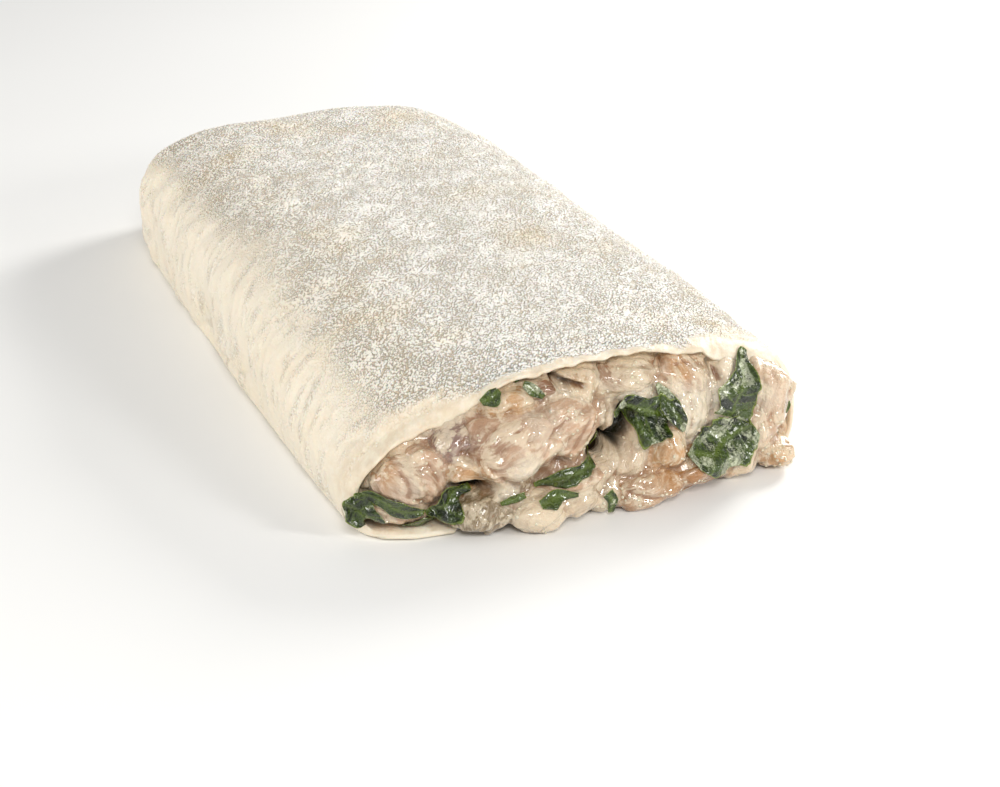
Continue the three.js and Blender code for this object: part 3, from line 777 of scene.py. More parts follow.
# name of the solid: colour, share of cream, direction of the grain in degrees
PIECES = {
    "chicken_big": ("rose", 0.15, 22), "chicken_hook": ("pale", 0.3, 60),
    "chicken_left": ("rose", 0.05, -35), "chicken_knob": ("tan", 0.25, 70),
    "chicken_low_middle": ("pale", 0.6, 10), "chicken_strip": ("rose", 0.3, 18),
    "chicken_low_right": ("russet", 0.0, 20), "chicken_low_left": ("grey", -0.15, 50),
    "chicken_under_strand": ("tan", 0.15, -12), "chicken_dark": ("plum", 0.15, 40),
    "chicken_top_left": ("tan", 0.3, 10), "chicken_top_dark": ("brown", 0.0, 0),
    "chicken_top_middle": ("pale", 0.4, 70), "chicken_top": ("pale", 0.5, -20),
    "chicken_top_right": ("rose", 0.3, -60), "chicken_middle": ("cream", 0.5, 80),
    "chicken_right_strand": ("cream", 0.8, -72), "chicken_end": ("rose", 0.45, 80),
    "chicken_behind_leaf": ("cream", 0.4, -80), "chicken_crumbly": ("tan", 0.3, 0),
    "chicken_low_end": ("pale", 0.3, 70), "chicken_corner": ("grey", 0.1, 30),
}
# Patches of another colour: place across and up the cut and radius in mm, colour, strength.
# The brown patches in the deep pits, at (9, 47), (47, 38), (71, 12) and (-79, 21), are painted shade;
# the brown one at (-40, 31) is partly the big piece's own colour and partly painted shade on its upper
# left side.
PATCHES = [
    (-40, 31, 7, "brown", 0.55), (-29, 22, 6, "cream", 0.95), (-16, 24, 3.5, "plum", 0.6),
    (-49, 30, 6, "plum", 0.8), (-44, 22, 5, "tan", 0.7), (-73, 26, 4, "orange", 0.45),
    (-66, 21, 5, "cream", 0.4), (-8, 33, 6, "rose", 0.6), (-15, 45, 4, "brown", 0.9),
    (-2, 44, 5, "tan", 0.6), (9, 47, 5, "brown", 0.75), (22, 11, 5, "orange", 0.6),
    (23, 18, 5, "tan", 0.6), (12, 27, 5, "rose", 0.6), (33, 43, 4, "orange", 0.7),
    (47, 38, 3, "brown", 0.8), (66, 36, 5, "orange", 0.4), (70, 27, 6, "orange", 0.3),
    (52, 5, 4, "orange", 0.5), (71, 12, 3, "brown", 0.7), (-41, 7, 8, "grey", 0.8),
    (-20, 36, 7, "cream", 0.4), (38, 30, 8, "cream", 0.9), (16, 4, 9, "cream", 0.25),
    (44, 20, 6, "cream", 0.7), (30, 35, 5, "cream", 0.6), (64, 30, 7, "cream", 0.5),
    (-33, 14, 5, "cream", 0.8), (-79, 21, 3, "brown", 0.6), (62, 13, 5, "cream", 0.4),
]
print("colours of meat:", len(MEAT), "pieces:", len(PIECES), "patches:", len(PATCHES))

# %% Marks on the cut face
# In millimetres: height, less than 0 for a groove; half width; path across and up the cut.
MARKS = [
    (-1.0, 1.2, [(-46, 32), (-38, 37), (-28, 39.5), (-15, 40.5)]),
    (-0.8, 1.1, [(-43, 29), (-35, 34), (-24, 37.5), (-16, 38)]),
    (0.7, 1.4, [(-44, 31), (-36, 35.7), (-26, 38.6)]),
    (0.9, 1.3, [(-50, 27), (-43, 24), (-36, 18)]),
    (-1.0, 1.0, [(-47, 29), (-41, 26), (-35, 20), (-30, 16.5)]),
    (1.4, 4.5, [(-30, 22), (-27, 22)]),
    (-0.8, 2.4, [(-17, 25), (-15, 22)]),
    (-0.8, 1.0, [(-22, 27), (-18, 32), (-11, 36)]),
    (-1.0, 1.2, [(-13, 20), (-8, 27), (-3, 34)]),
    (-0.8, 1.0, [(-8, 19), (-3, 26), (1, 34)]),
    (1.0, 1.5, [(-68, 31), (-64, 25), (-62, 18)]),
    (-1.0, 1.3, [(-71, 30), (-67, 24), (-66, 18)]),
    (-0.9, 1.4, [(-76, 25), (-70, 20), (-61, 14)]),
    (-0.8, 1.0, [(-60, 30), (-57, 24), (-55, 17)]),
    (0.9, 1.1, [(-54, 29), (-50, 35), (-45, 37.5)]),
    (-1.3, 1.4, [(-4, 17), (3, 19.5), (8, 25)]),
    (-0.8, 1.0, [(2, 12), (9, 17), (13, 24)]),
    (0.3, 1.2, [(31, 43), (33, 33), (32, 23), (29, 15)]),
    (-0.4, 0.8, [(33.5, 43), (35.5, 33), (34.5, 23), (31.5, 14)]),
    (0.3, 1.2, [(36, 43), (38, 33), (37, 23), (34, 13)]),
    (-0.3, 0.8, [(39, 42), (40.5, 33), (39, 23), (37, 14)]),
    (0.25, 1.2, [(41.5, 41), (43, 33), (41.5, 24)]),
    (-0.9, 1.1, [(12, 45), (20, 44), (28, 40)]),
    (0.3, 1.3, [(65, 37), (63, 27), (61, 15)]),
    (-0.3, 1.0, [(67.5, 37), (66, 27), (64, 14)]),
    (0.3, 1.4, [(71, 36), (71, 27), (68, 14)]),
    (-0.3, 1.0, [(74, 34), (74, 25), (71, 15)]),
    (-1.2, 1.3, [(5, 13), (14, 10.5), (24, 10.5), (31, 14), (35, 19)]),
    (-0.8, 1.1, [(8, 8), (16, 4.5), (28, 4)]),
    (-1.4, 3.2, [(22, 12), (24, 10)]),
    (0.5, 0.7, [(-47, 12), (-43, 7), (-41, 2)]),
    (0.5, 0.7, [(-44, 13.5), (-38, 9), (-34, 8)]),
    (-0.8, 1.0, [(-20, 11), (-15, 6), (-12, 1)]),
    (-3.0, 2.0, [(7, 47.5), (13, 46.5)]),
    (-2.5, 1.8, [(29, 45), (36, 43.5)]),
    (-3.0, 1.2, [(47, 41), (48.5, 36.5)]),
    (-2.5, 1.6, [(-80, 20), (-77, 21)]),
    (-2.5, 1.0, [(70, 15), (72, 12), (73.5, 11)]),
]
# Holes between the pieces: depth, half width, how dark their painted shade is, and path.
HOLES = [
    (10.0, 3.3, 1.0, [(8.8, 22.5), (10.8, 27), (11.8, 31.5)]),
    (7.0, 1.5, 1.0, [(-48, 17.8), (-44, 17.2), (-40, 16)]),
    (5.0, 1.2, 0.7, [(-10.5, 45.3), (-7, 44.6), (-3, 43.4)]),
]
MARK_DEPTH = 0.016                       # points further in than this stay where they are
# The dark middle of a hole is painted shade.
HOLE_SHADE_SHARE = 0.75                         # the share of a hole's half width that is dark


def mark(piece):
    """Presses in or raises all marks and holes, straight into or out of the cut."""
    at = from_cut(piece)
    holes = [(-depth, half, path) for depth, half, _, path in HOLES]
    near = 1 - step_up(at[:, 1], 0.0, MARK_DEPTH)
    out = ridges(at[:, [0, 2]], MARKS + holes) * near
    move_points(piece, at - np.stack([out * 0, out, out * 0], axis=1) + np.array(cut))


def hole_shade(at):
    """How much painted shade each point gets, 1 in a deep hole and fading to 0 round it."""
    return np.max([dark * np.exp(-(from_path(at[:, [0, 2]], path) / (half * HOLE_SHADE_SHARE * MM)) ** 6)
                   for _, half, dark, path in HOLES], axis=0)


def patched(at, base):
    """The base colours with the patches laid over them, and near black painted shade in the holes."""
    paint = np.array(base, float)
    ragged = 1 + 0.35 * noise(at, 0.005, 17)
    for across, up, radius, name, strength in PATCHES:
        away = np.hypot(at[:, 0] - across * MM, at[:, 2] - up * MM) * ragged / (radius * MM)
        cover = (strength * np.exp(-away ** 4) * (1 - step_up(at[:, 1], 0.01, 0.03)))[:, None]
        paint = paint * (1 - cover) + np.array(MEAT[name][:3]) * cover
    # Near black painted shade in the holes.
    dark = hole_shade(at)[:, None]
    return paint * (1 - dark) + np.array(MEAT["hole"][:3]) * dark


print("marks:", len(MARKS), "holes:", len(HOLES))

# %% The pieces of meat
MEAT_CELL = 0.00055
BUNDLE = (0.022, 0.0062, 0.009)          # a bundle's length along the grain, width and depth
FLOW = (0.018, 0.0042, 0.006)            # soft folds that follow the grain
FIBRE = (0.012, 0.0014, 0.0014)
LUMP = 0.008
WRINKLE = 0.0032
CREAM_PATCH = 0.008
DEEP = 0.00035                           # a groove this deep counts as fully hollow
HOLLOW_PULLS = 16                        # smoothing steps that fill a groove


def hollowness(piece):
    """How deep each point lies in a groove, 0 to 1 and negative on ridges, by smoothing a copy."""
    mesh = piece.data
    ends = np.empty(len(mesh.edges) * 2, np.int32)
    mesh.edges.foreach_get("vertices", ends)
    a, b = ends.reshape(-1, 2).T
    start = now = points_of(piece)
    size = len(start)
    beside = np.bincount(a, minlength=size) + np.bincount(b, minlength=size)
    for _ in range(HOLLOW_PULLS):
        now = np.stack([np.bincount(a, now[b, k], size) + np.bincount(b, now[a, k], size)
                        for k in range(3)], axis=1) / beside[:, None]
    out = ((now - start) * normals_of(piece)).sum(axis=1)
    return np.clip(out / DEEP, -1, 1)


def grain_places(at, degrees):
    """Places in a piece's own directions: along the grain, across it, and into the log."""
    turn = math.radians(degrees)
    along = at[:, 0] * math.cos(turn) + at[:, 2] * math.sin(turn)
    across = at[:, 2] * math.cos(turn) - at[:, 0] * math.sin(turn)
    return np.stack([along, across, at[:, 1]], axis=1)


def meat_piece(node, seed):
    tint, creamy, degrees = PIECES[node]
    piece = merged_copy(node, node.replace("chicken", "meat"))
    applied(piece, "REMESH", mode="VOXEL", voxel_size=MEAT_CELL)
    applied(piece, "SMOOTH", factor=0.5, iterations=10)
    at = from_cut(piece)
    bent = at + 0.0025 * np.stack([noise(at, 0.011, seed + k) for k in range(3)], axis=1)
    grain = grain_places(bent, degrees)
    cream = step_up(layers(at, CREAM_PATCH, 2, seed + 5) + creamy - 0.25, -0.5, 0.7)
    bundle = bundles(grain, BUNDLE, seed + 9)
    fibres = 1 - abs(noise(grain, FIBRE, seed + 11)) * 2
    lumps = layers(at, LUMP, 2, seed + 13)
    flow = layers(grain, FLOW, 2, seed + 15)
    wrinkles = 0.5 - abs(noise(bent, WRINKLE, seed + 17)) * 2
    swell(piece, (0.3 + lumps * 0.5 + flow * 0.45 + step_up(bundle, 0, 0.5) * 0.5
                  + fibres * (1 - cream) * 0.04 + wrinkles * 0.06) * MM)
    mark(piece)
    onto_table(piece)
    # The tint is darker on the walls between bundles and in the low parts of the folds, and lighter on
    # their crests: painted shade and light that follow the relief.
    paint = np.tile(MEAT[tint][:3], (len(at), 1)) * (0.88 + 0.12 * bundle + 0.25 * flow)[:, None]
    # In the holes cream is -1: no cream, so the painted shade there stays bare.
    keep(piece, "cream", cream * (1 - hole_shade(at)) - hole_shade(at))
    keep(piece, "hollow", hollowness(piece))
    keep(piece, "grain", grain)
    keep(piece, "tint", patched(at, paint))
    return piece


meat = {node: meat_piece(node, 40 + 23 * k) for k, node in enumerate(PIECES)}
print("meat:", len(meat), "pieces,", sum(len(piece.data.polygons) for piece in meat.values()), "faces")

# %% [markdown]
# ## The look of wet chicken
# Cream lies on the meat as a film that gathers in cloudy patches and thins out along the
# fibres. Painting it with one noise looks like mould, so its cover is a sum of three: slow
# patches stored on the points, a cloudy film, and streaks that run along the stored grain.
# Grooves get a browner colour and less cream, as painted shade, and holes take no cream at all,
# so their near black painted shade shows. A little light passes under the surface, and a sharp
# clear coat gives the small wet highlights.

# %% The meat's finish
def meat_finish(name, creamy):
    """Wet flesh or sauce; creamy is added to the share of cream."""
    finish = Finish(name)
    at = finish.place()
    grain = finish.attribute("grain", "Vector")
    hollow = finish.attribute("hollow")
    stretched = finish.node("ShaderNodeVectorMath", {"operation": "MULTIPLY"}, {
        0: grain, 1: (0.2, 1.0, 1.0)})
    streak = finish.speckle(stretched, 0.0013, 3, 0.6)
    film = finish.node("ShaderNodeTexNoise", inputs={
        "Vector": at, "Scale": 520.0, "Detail": 4.0, "Roughness": 0.62, "Distortion": 0.9})
    fine = finish.speckle(at, 0.0006, 2, 0.5)
    # 0 inside the painted hole shade, where the streaks and the groove shade are left out.
    outside_hole_shade = finish.between(finish.attribute("cream"), -1.0, 0.0)
    flesh = finish.mixed(finish.between(streak, 0.42, 0.66) * outside_hole_shade * 0.4,
                         finish.attribute("tint", "Color"), MEAT["streak"])
    # Painted shade: grooves take the browner groove colour and less cream, and ridges a little more
    # cream.
    flesh = finish.mixed(finish.between(hollow, 0.0, 1.0) * outside_hole_shade * 0.7, flesh, MEAT["groove"])
    milky = finish.attribute("cream") + creamy - hollow * 0.3
    cover = finish.between(milky + (film - 0.5) * 1.1 + (streak - 0.5) * 1.2, 0.4, 0.85)
    return finish.surface(
        Base_Color=finish.mixed(cover * 0.6, flesh, MEAT["film"]),
        Roughness=film * 0.2 + 0.08,
        Normal=finish.bump(film + streak * 0.45 + fine * 0.35, 0.0009, 0.85),
        Subsurface_Weight=0.15, Subsurface_Radius=(1.0, 0.55, 0.3), Subsurface_Scale=0.002,
        Coat_Weight=1.0, Coat_Roughness=0.03)


wet_chicken = meat_finish("wet_chicken", 0.0)
for node, piece in meat.items():
    piece.data.materials.append(wet_chicken)
    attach(piece, "root")
    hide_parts(node)
print("meat finished")

# %% [markdown]
# ## The core behind the pieces
# Behind the pieces that show, the filling runs on through the log as one mass. It only shows
# through the deep gaps, so it gets coarser cells, simple lumps and a dark colour that is painted
# shade for those gaps.

# %% The filling's core
CORE_CELL = 0.002

core = merged_copy("filling", "filling_core")
applied(core, "REMESH", mode="VOXEL", voxel_size=CORE_CELL)
applied(core, "SMOOTH", factor=0.5, iterations=4)
core_at = points_of(core)
swell(core, layers(core_at, 0.012, 2, 71) * 0.0008 - 0.0004)
print("core:", len(core.data.polygons), "faces")

# %% The core's dark finish, painted shade for the deep gaps
def core_shade_finish():
    finish = Finish("filling_inside_shade")
    at = finish.place()
    patch = finish.speckle(at, 0.008, 3)
    return finish.surface(
        Base_Color=finish.mixed(patch, colour(30, 24, 12), colour(76, 56, 34)),
        Roughness=patch * 0.2 + 0.25,
        Normal=finish.bump(finish.speckle(at, 0.002, 3), 0.0006, 0.7),
        Subsurface_Weight=0.2, Subsurface_Radius=(1.0, 0.45, 0.25), Subsurface_Scale=0.003)


core.data.materials.append(core_shade_finish())
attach(core, "root")
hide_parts("filling")
print("core finished")

# %% [markdown]
# ## The cream sauce
# Sauce fills the grooves between the pieces with soft fillets. Its form follows from theirs:
# swell all pieces until narrow grooves close, then shrink the result by a little more. On open
# bumps that leaves the sauce just under the meat, and in the grooves it stays as a bridge.
# Thicker sauce in the corners and under the rim is added as balls before the swelling.
# A voxel remesh after each move keeps the mesh clean. Its colour is mostly that of the meat
# next to it, because thin sauce lets it through.

# %% Thick sauce in the corners and under the rim
# Across, depth behind the cut and up; its radii; all in millimetres.
POOLS = [
    ((-75, 7, 14), (7, 5, 7)),
    ((72, 4, 26), (5, 5, 7)), ((76.5, 3.5, 18), (4, 5, 9)), ((78, 4, 9), (3, 4.5, 6)),
    ((44, 6, 42), (8, 5, 4)), ((30, 6, 42), (8, 5, 4)),
]
BEADS = 60                               # balls of sauce in a row under the rim
BEAD_RADIUS = 3.4
BEAD_INSET = 0.8                         # of its radius between a bead's middle and the dough
BEAD_LEAST = 0.75                        # the smallest bead, as a share of the largest
BEAD_DEPTH = 6.5
BEAD_FORWARD = 2                         # how much nearer to the cut they lie on the left
BEAD_LEFT = -30
RIM_FOLLOW = 0.8                         # the share of the rim's rise that the beads follow


def pool(at, radii):
    """A ball of thick sauce, stretched to its three radii."""
    across, depth, up = at
    middle = Vector((across, depth + CUT_SKEW * across, up)) * MM
    ball = bmesh.new()
    bmesh.ops.create_icosphere(ball, subdivisions=3, radius=MM)
    for point in ball.verts:
        point.co = cut + middle + Vector(radii) * point.co
    return from_bmesh("pool", ball)


def bead(across, up, size):
    """A ball of sauce under the rim, which follows the rim where that is raised."""
    raised = max(0.0, -np.interp(across * MM, DROOP[:, 0], DROOP[:, 1]) / MM)
    depth = BEAD_DEPTH - (BEAD_FORWARD if across < BEAD_LEFT else 0)
    return pool((across, depth, up + raised * RIM_FOLLOW), [BEAD_RADIUS * size] * 3)


under_rim = section(0.02, DOUGH + BEAD_RADIUS * BEAD_INSET * MM, BEADS, 2)[2:BEADS - 2]
bead_sizes = BEAD_LEAST + (1 - BEAD_LEAST) * draw.random(len(under_rim))
pools = [pool(*sizes) for sizes in POOLS]
pools += [bead(*(place / MM), size) for place, size in zip(under_rim, bead_sizes)]
print("pools of sauce:", len(POOLS), "and", len(under_rim), "beads under the rim")

# %% Sauce in the grooves
SAUCE_CELL = 0.0007
SAUCE_REACH = 0.0023                     # grooves narrower than twice this are bridged
SAUCE_SINK = 0.00015                     # how far under the meat's skin the sauce ends

all_meat = joined_copy("all_meat", meat.values())
sauce = joined_copy("cream_sauce", [all_meat] + pools)
for piece in pools:
    bpy.data.objects.remove(piece)
applied(sauce, "REMESH", mode="VOXEL", voxel_size=SAUCE_CELL)
swell(sauce, SAUCE_REACH)
applied(sauce, "REMESH", mode="VOXEL", voxel_size=SAUCE_CELL)
applied(sauce, "SMOOTH", factor=0.5, iterations=3)
swell(sauce, -SAUCE_REACH - SAUCE_SINK)
applied(sauce, "REMESH", mode="VOXEL", voxel_size=SAUCE_CELL)
applied(sauce, "SMOOTH", factor=0.5, iterations=4)
sauce_at = from_cut(sauce)
swell(sauce, layers(sauce_at, 0.006, 2, 91) * 0.0003
      - abs(noise(sauce_at, WRINKLE, 93)) * 0.0004)
mark(sauce)
onto_table(sauce)
print("sauce:", len(sauce.data.polygons), "faces")

# %% What the sauce's finish reads
def nearest_values(piece, source, name):
    """An attribute of the source's points, read at the points nearest to the piece's."""
    tree = KDTree(len(source.data.vertices))
    for k, point in enumerate(points_of(source)):
        tree.insert(point, k)
    tree.balance()
    values = np.empty(len(source.data.vertices) * 3, np.float32)
    source.data.attributes[name].data.foreach_get("vector", values)
    return values.reshape(-1, 3)[[tree.find(point)[1] for point in points_of(piece)]]


roof = under_rim[np.argsort(under_rim[:, 0])].T
near_rim = step_up(sauce_at[:, 2] - np.interp(sauce_at[:, 0], *roof), -0.005, 0.001)
sauce_cream = share(0.4 + layers(sauce_at, CREAM_PATCH, 2, 95) * 0.7 + near_rim * 0.6)
keep(sauce, "tint", nearest_values(sauce, all_meat, "tint") * 0.97)
keep(sauce, "grain", nearest_values(sauce, all_meat, "grain"))
# In the holes cream is -1: no cream, so the painted shade there stays bare.
keep(sauce, "cream", sauce_cream * (1 - hole_shade(sauce_at)) - hole_shade(sauce_at))
# The hollow value drives the painted groove shade on the sauce too, more weakly.
keep(sauce, "hollow", hollowness(sauce) * 0.6)
bpy.data.objects.remove(all_meat)
print("share of cream in the sauce:", round(float(sauce_cream.mean()), 2))

# %% The sauce's finish
SAUCE_CREAMY = 0.15
sauce.data.materials.append(meat_finish("cream_sauce", SAUCE_CREAMY))
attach(sauce, "root")
print("sauce finished")

# %% [markdown]
# ## The spinach
# A wilted leaf is a thin skin that clings to what it lies on. Each one is a fine grid along a
# path on the cut. A ray from in front finds the meat behind every point of the grid, the
# heights are then drawn taut like cloth over its hollows, and puckers between the veins and a
# frilled edge are added. The path and widths repeat those of the solids. Three scraps fill
# gaps between the leaves; they are too small for a solid of their own.

# %% Paths and widths of the leaves
# Millimetres across and up the cut: path from base to tip, half widths to the left and right
# of it (one list where both are alike), how far the leaf waves out, its share of cream, and
# whether it also lies over the dough's rim.
LEAVES = {
    "spinach_right_upper": dict(path=[[50, 24], [53, 31], [57, 38], [60.5, 43.5]],
                                left=[8, 6.5, 3.5, 1.2], right=[8, 8, 4.5, 1.2], wave=1.2,
                                creamy=0.6, over_rim=True),
    "spinach_right_lower": dict(path=[[58, 21], [50, 17], [41, 14], [31.5, 16.5]],
                                left=[4, 9.5, 6.5, 0.6], right=[3, 6.5, 7.5, 0.6], wave=0.8,
                                creamy=0.6),
    "spinach_middle": dict(path=[[7, 33], [13, 34.5], [20, 32], [26, 29]],
                           left=[1.2, 3.8, 6, 5.5], right=[1.2, 4.5, 10.5, 5], wave=1.6, creamy=0.35),
    "spinach_middle_tip": dict(path=[[24, 40], [26.5, 35], [29, 29.5], [31, 24]],
                               left=[0.8, 2.8, 3.0, 0.8], wave=0.8, creamy=0.9),
    "spinach_strip": dict(path=[[1, 22.5], [-5, 19.3], [-13, 16.8], [-23, 14]],
                          left=[1.6, 1.7, 1.9, 0.7], wave=0.6, creamy=-0.1),
    "spinach_strip_end": dict(path=[[-28, 13.2], [-32, 12.8], [-37, 12.4]],
                              left=[0.9, 1.4, 0.8], wave=0.4, creamy=-0.1),
    "spinach_left": dict(path=[[-86, 15.5], [-82, 12.5], [-79, 9.5], [-76, 7.5]],
                         left=[0.8, 4.5, 5, 2.5], wave=1.4, creamy=0.35),
    "spinach_left_strip": dict(path=[[-82, 17.5], [-75, 16.5], [-69, 12.5], [-61, 10.2]],
                               left=[1.2, 2.4, 2.4, 1], wave=0.8, creamy=-0.1),
    "spinach_left_fold": dict(path=[[-60.5, 10.5], [-54.5, 11.5], [-50, 15], [-44.5, 16.2]],
                              left=[0.8, 3, 4, 0.8], right=[0.8, 5, 3.2, 0.8], wave=1.8, creamy=-0.2),
    "spinach_floor": dict(path=[[-68, 4.6], [-62, 5.4], [-56, 6]], left=[0.9, 2.2, 0.9],
                          wave=0.5, creamy=0.35),
    "spinach_rim": dict(path=[[-37, 42], [-34, 43.5], [-31, 45.5]], left=[1, 2.2, 0.9],
                        wave=0.3, creamy=0.0),
    "spinach_top": dict(path=[[-22, 46], [-19.5, 44.3], [-16.5, 41.8]], left=[1, 1.9, 0.8],
                        wave=0.4, creamy=0.4),
    "spinach_low": dict(path=[[-25, 11.3], [-18, 12.3], [-11, 11.8]], left=[0.9, 1.9, 0.9],
                        wave=0.4, creamy=0.0),
    "spinach_low_end": dict(path=[[0.5, 9], [2, 6], [1.5, 1.8]], left=[2.6, 2, 0.8],
                            wave=0.6, creamy=0.45),
}
SCRAPS = {
    "spinach_scrap_hole": dict(path=[[-1.5, 23.5], [0, 25.5], [0.5, 28]], left=[0.5, 1.3, 0.4],
                               wave=0.5, creamy=-0.4),
    "spinach_scrap_right": dict(path=[[71, 22.5], [72, 24.5], [72.5, 26.5]], left=[0.3, 0.7, 0.3],
                                wave=0.3, creamy=0.0),
    "spinach_scrap_rim": dict(path=[[-24, 46], [-22.5, 47], [-20.5, 47.3]], left=[0.4, 1.0, 0.4],
                              wave=0.3, creamy=0.0),
}
# Folds in the leaves, given as the marks on the meat are.
FOLDS = [
    (-1.6, 1.3, [(42, 26), (47, 23), (53, 22), (59, 24)]), (0.9, 1.2, [(43, 29), (49, 27), (57, 26)]),
    (0.8, 0.8, [(47, 33), (53, 33), (62, 36)]), (0.7, 0.8, [(57, 21), (49, 16), (40, 14)]),
    (-0.5, 0.7, [(50, 16), (47, 9)]), (-0.5, 0.7, [(45, 15), (42, 9)]),
    (1.5, 1.3, [(10, 35), (15, 33), (21, 30), (25, 28)]), (1.3, 1.2, [(24, 39), (21.5, 31), (20, 22)]),
    (-1.2, 1.1, [(17, 35), (18, 31), (17, 26)]), (-0.9, 1.0, [(26, 36), (24.5, 30), (25, 23)]),
    (1.5, 1.2, [(-53, 15.5), (-54, 11), (-55, 7)]), (-1.0, 1.0, [(-58, 11), (-56, 9)]),
    (1.2, 1.2, [(-84, 15), (-80, 12), (-77, 7)]), (-1.0, 1.2, [(-82, 9), (-79, 13)]),
]
print("leaves:", len(LEAVES), "scraps:", len(SCRAPS), "folds:", len(FOLDS))

# %% Grids for thin leaves
LEAF_LEAST = 0.0003                      # no half width is less
LEAF_CELL = 0.00045
LEAF_ABOVE = 0.0006                      # how far a leaf's edge stays above the table or dough
VIEW_DEPTH = -0.08                       # where the rays towards the cut start
OPEN_DEPTH = 0.004                       # the height of a leaf where no ray meets anything
LEAF_PULLS = 60


def smooth_curve(path, t):
    """A Catmull-Rom curve through the points of a path, at shares t."""
    path = np.asarray(path, float)
    ends = np.concatenate([[2 * path[0] - path[1]], path, [2 * path[-1] - path[-2]]])
    place = np.clip(t, 0, 1 - 1e-9) * (len(path) - 1)
    k = place.astype(int)
    u = (place - k)[:, None]
    a, b, c, d = (ends[k + n] for n in range(4))
    return 0.5 * (2 * b + (c - a) * u + (2 * a - 5 * b + 4 * c - d) * u ** 2
                  + (3 * b - a - 3 * c + d) * u ** 3)


def front_of(beds, x, z):
    """Where a ray from in front first meets the beds, at one place across and up."""
    start = cut + Vector((x, VIEW_DEPTH, z))
    found = [bed.ray_cast(start, Vector((0, 1, 0)))[0] for bed in beds]
    return min((hit.y for hit in found if hit), default=cut.y + OPEN_DEPTH) - cut.y


def drawn_taut(bed):
    """Heights pulled flat over the hollows of a bed, and never behind it."""
    now = bed.copy()
    for _ in range(LEAF_PULLS):
        wide = np.pad(now, 1, mode="edge")
        now = np.minimum(bed, (wide[:-2, 1:-1] + wide[2:, 1:-1]
                               + wide[1:-1, :-2] + wide[1:-1, 2:]) / 4)
    return now


def tree_of(piece):
    return BVHTree.FromPolygons([tuple(point) for point in points_of(piece)],
                                [tuple(face.vertices) for face in piece.data.polygons])


def grid_solid(name, front, back):
    """A thin closed sheet between two grids of points of the same shape."""
    rows, columns = front.shape[:2]
    row, column = np.meshgrid(np.arange(rows - 1), np.arange(columns - 1), indexing="ij")
    corner = row * columns + column
    quads = np.stack([corner, corner + 1, corner + columns + 1, corner + columns], axis=-1)
    quads = quads.reshape(-1, 4)
    count = rows * columns
    edge = np.concatenate([
        np.arange(columns - 1), np.arange(rows - 1) * columns + columns - 1,
        (rows - 1) * columns + np.arange(columns - 1, 0, -1), np.arange(rows - 1, 0, -1) * columns])
    wall = np.stack([edge, np.roll(edge, -1), np.roll(edge, -1) + count, edge + count], axis=1)
    faces = np.concatenate([quads, quads[:, ::-1] + count, wall])
    return facing_out(made(name, np.concatenate([front.reshape(-1, 3), back.reshape(-1, 3)]), faces))


print("leaf helpers ready")

# %% The leaves
LEAF_THICK = 0.00035
LEAF_GAP = 0.0004                        # between a leaf and what it lies on
LOW_LEAF = 0.018                         # leaves below this also lie on the dough
VEIN_STEP = 0.0034                       # between one side vein and the next
MIDRIB = 0.0007                          # half the width of a leaf's middle vein
LEAF_CREAM = 0.006                       # size of the patches of cream on a leaf


def leaf_outline(t, side, seed, path, widths, long):
    """Where each point of a leaf's grid lies across and up the cut, and the leaf's half width."""
    middle = smooth_curve(path, t[:, 0])
    run = np.gradient(middle, axis=0)
    run /= np.linalg.norm(run, axis=1, keepdims=True)
    half_right, half_left = (
        np.maximum(smooth_curve(np.column_stack([half, half]), t[:, 0])[:, :1], LEAF_LEAST)
        for half in widths)
    edge = np.stack([t * long, side * 0.002, side * 0], axis=-1).reshape(-1, 3)
    frill = layers(edge, 0.006, 3, seed).reshape(t.shape)
    reach = side * np.where(side > 0, half_left, half_right) * (1 + 0.3 * abs(side) ** 3 * frill)
    round_end = np.sqrt(1 - (0.94 * side) ** 2) * 0.35 * (half_left + half_right) / 2
    beyond = round_end * np.where(t > 0.5, 2 * t - 1, 0)
    x = middle[:, :1] - run[:, 1:] * reach + run[:, :1] * beyond
    z = middle[:, 1:] + run[:, :1] * reach + run[:, 1:] * beyond
    on_floor = np.where(x < LIP[-1, 0], DOUGH, 0) + LEAF_ABOVE
    return x, np.maximum(z, on_floor), (half_left + half_right) / 2


def leaf_veins(t, side, seed, flat, half, long):
    """How far each point is from a side vein, 0 to 1, and how close to the midrib, 1 to 0."""
    wander = 0.3 * noise(flat, 0.006, seed).reshape(t.shape)
    off_vein = abs((t * long / VEIN_STEP - abs(side) * 0.9 + wander) % 1 - 0.5) * 2
    return off_vein, np.exp(-(side * half / MIDRIB) ** 2)


def leaf_rise(side, seed, flat, wave, off_vein, midrib):
    """How far the leaf stands off its bed: its waves, puckers and folds."""
    pucker = bundles(flat, 0.0022, seed + 2).reshape(side.shape) * 0.4 + off_vein * 0.2 - midrib * 0.3
    ripple = layers(flat, (0.007, 1, 0.007), 2, seed + 9).reshape(side.shape)
    curl = wave * MM * (0.25 + ripple * (0.5 + abs(side)) + 0.35 * abs(side) ** 3)
    fold = ridges(flat[:, [0, 2]], FOLDS).reshape(side.shape)
    return np.maximum(curl + pucker * MM * 0.8 + fold, 0)


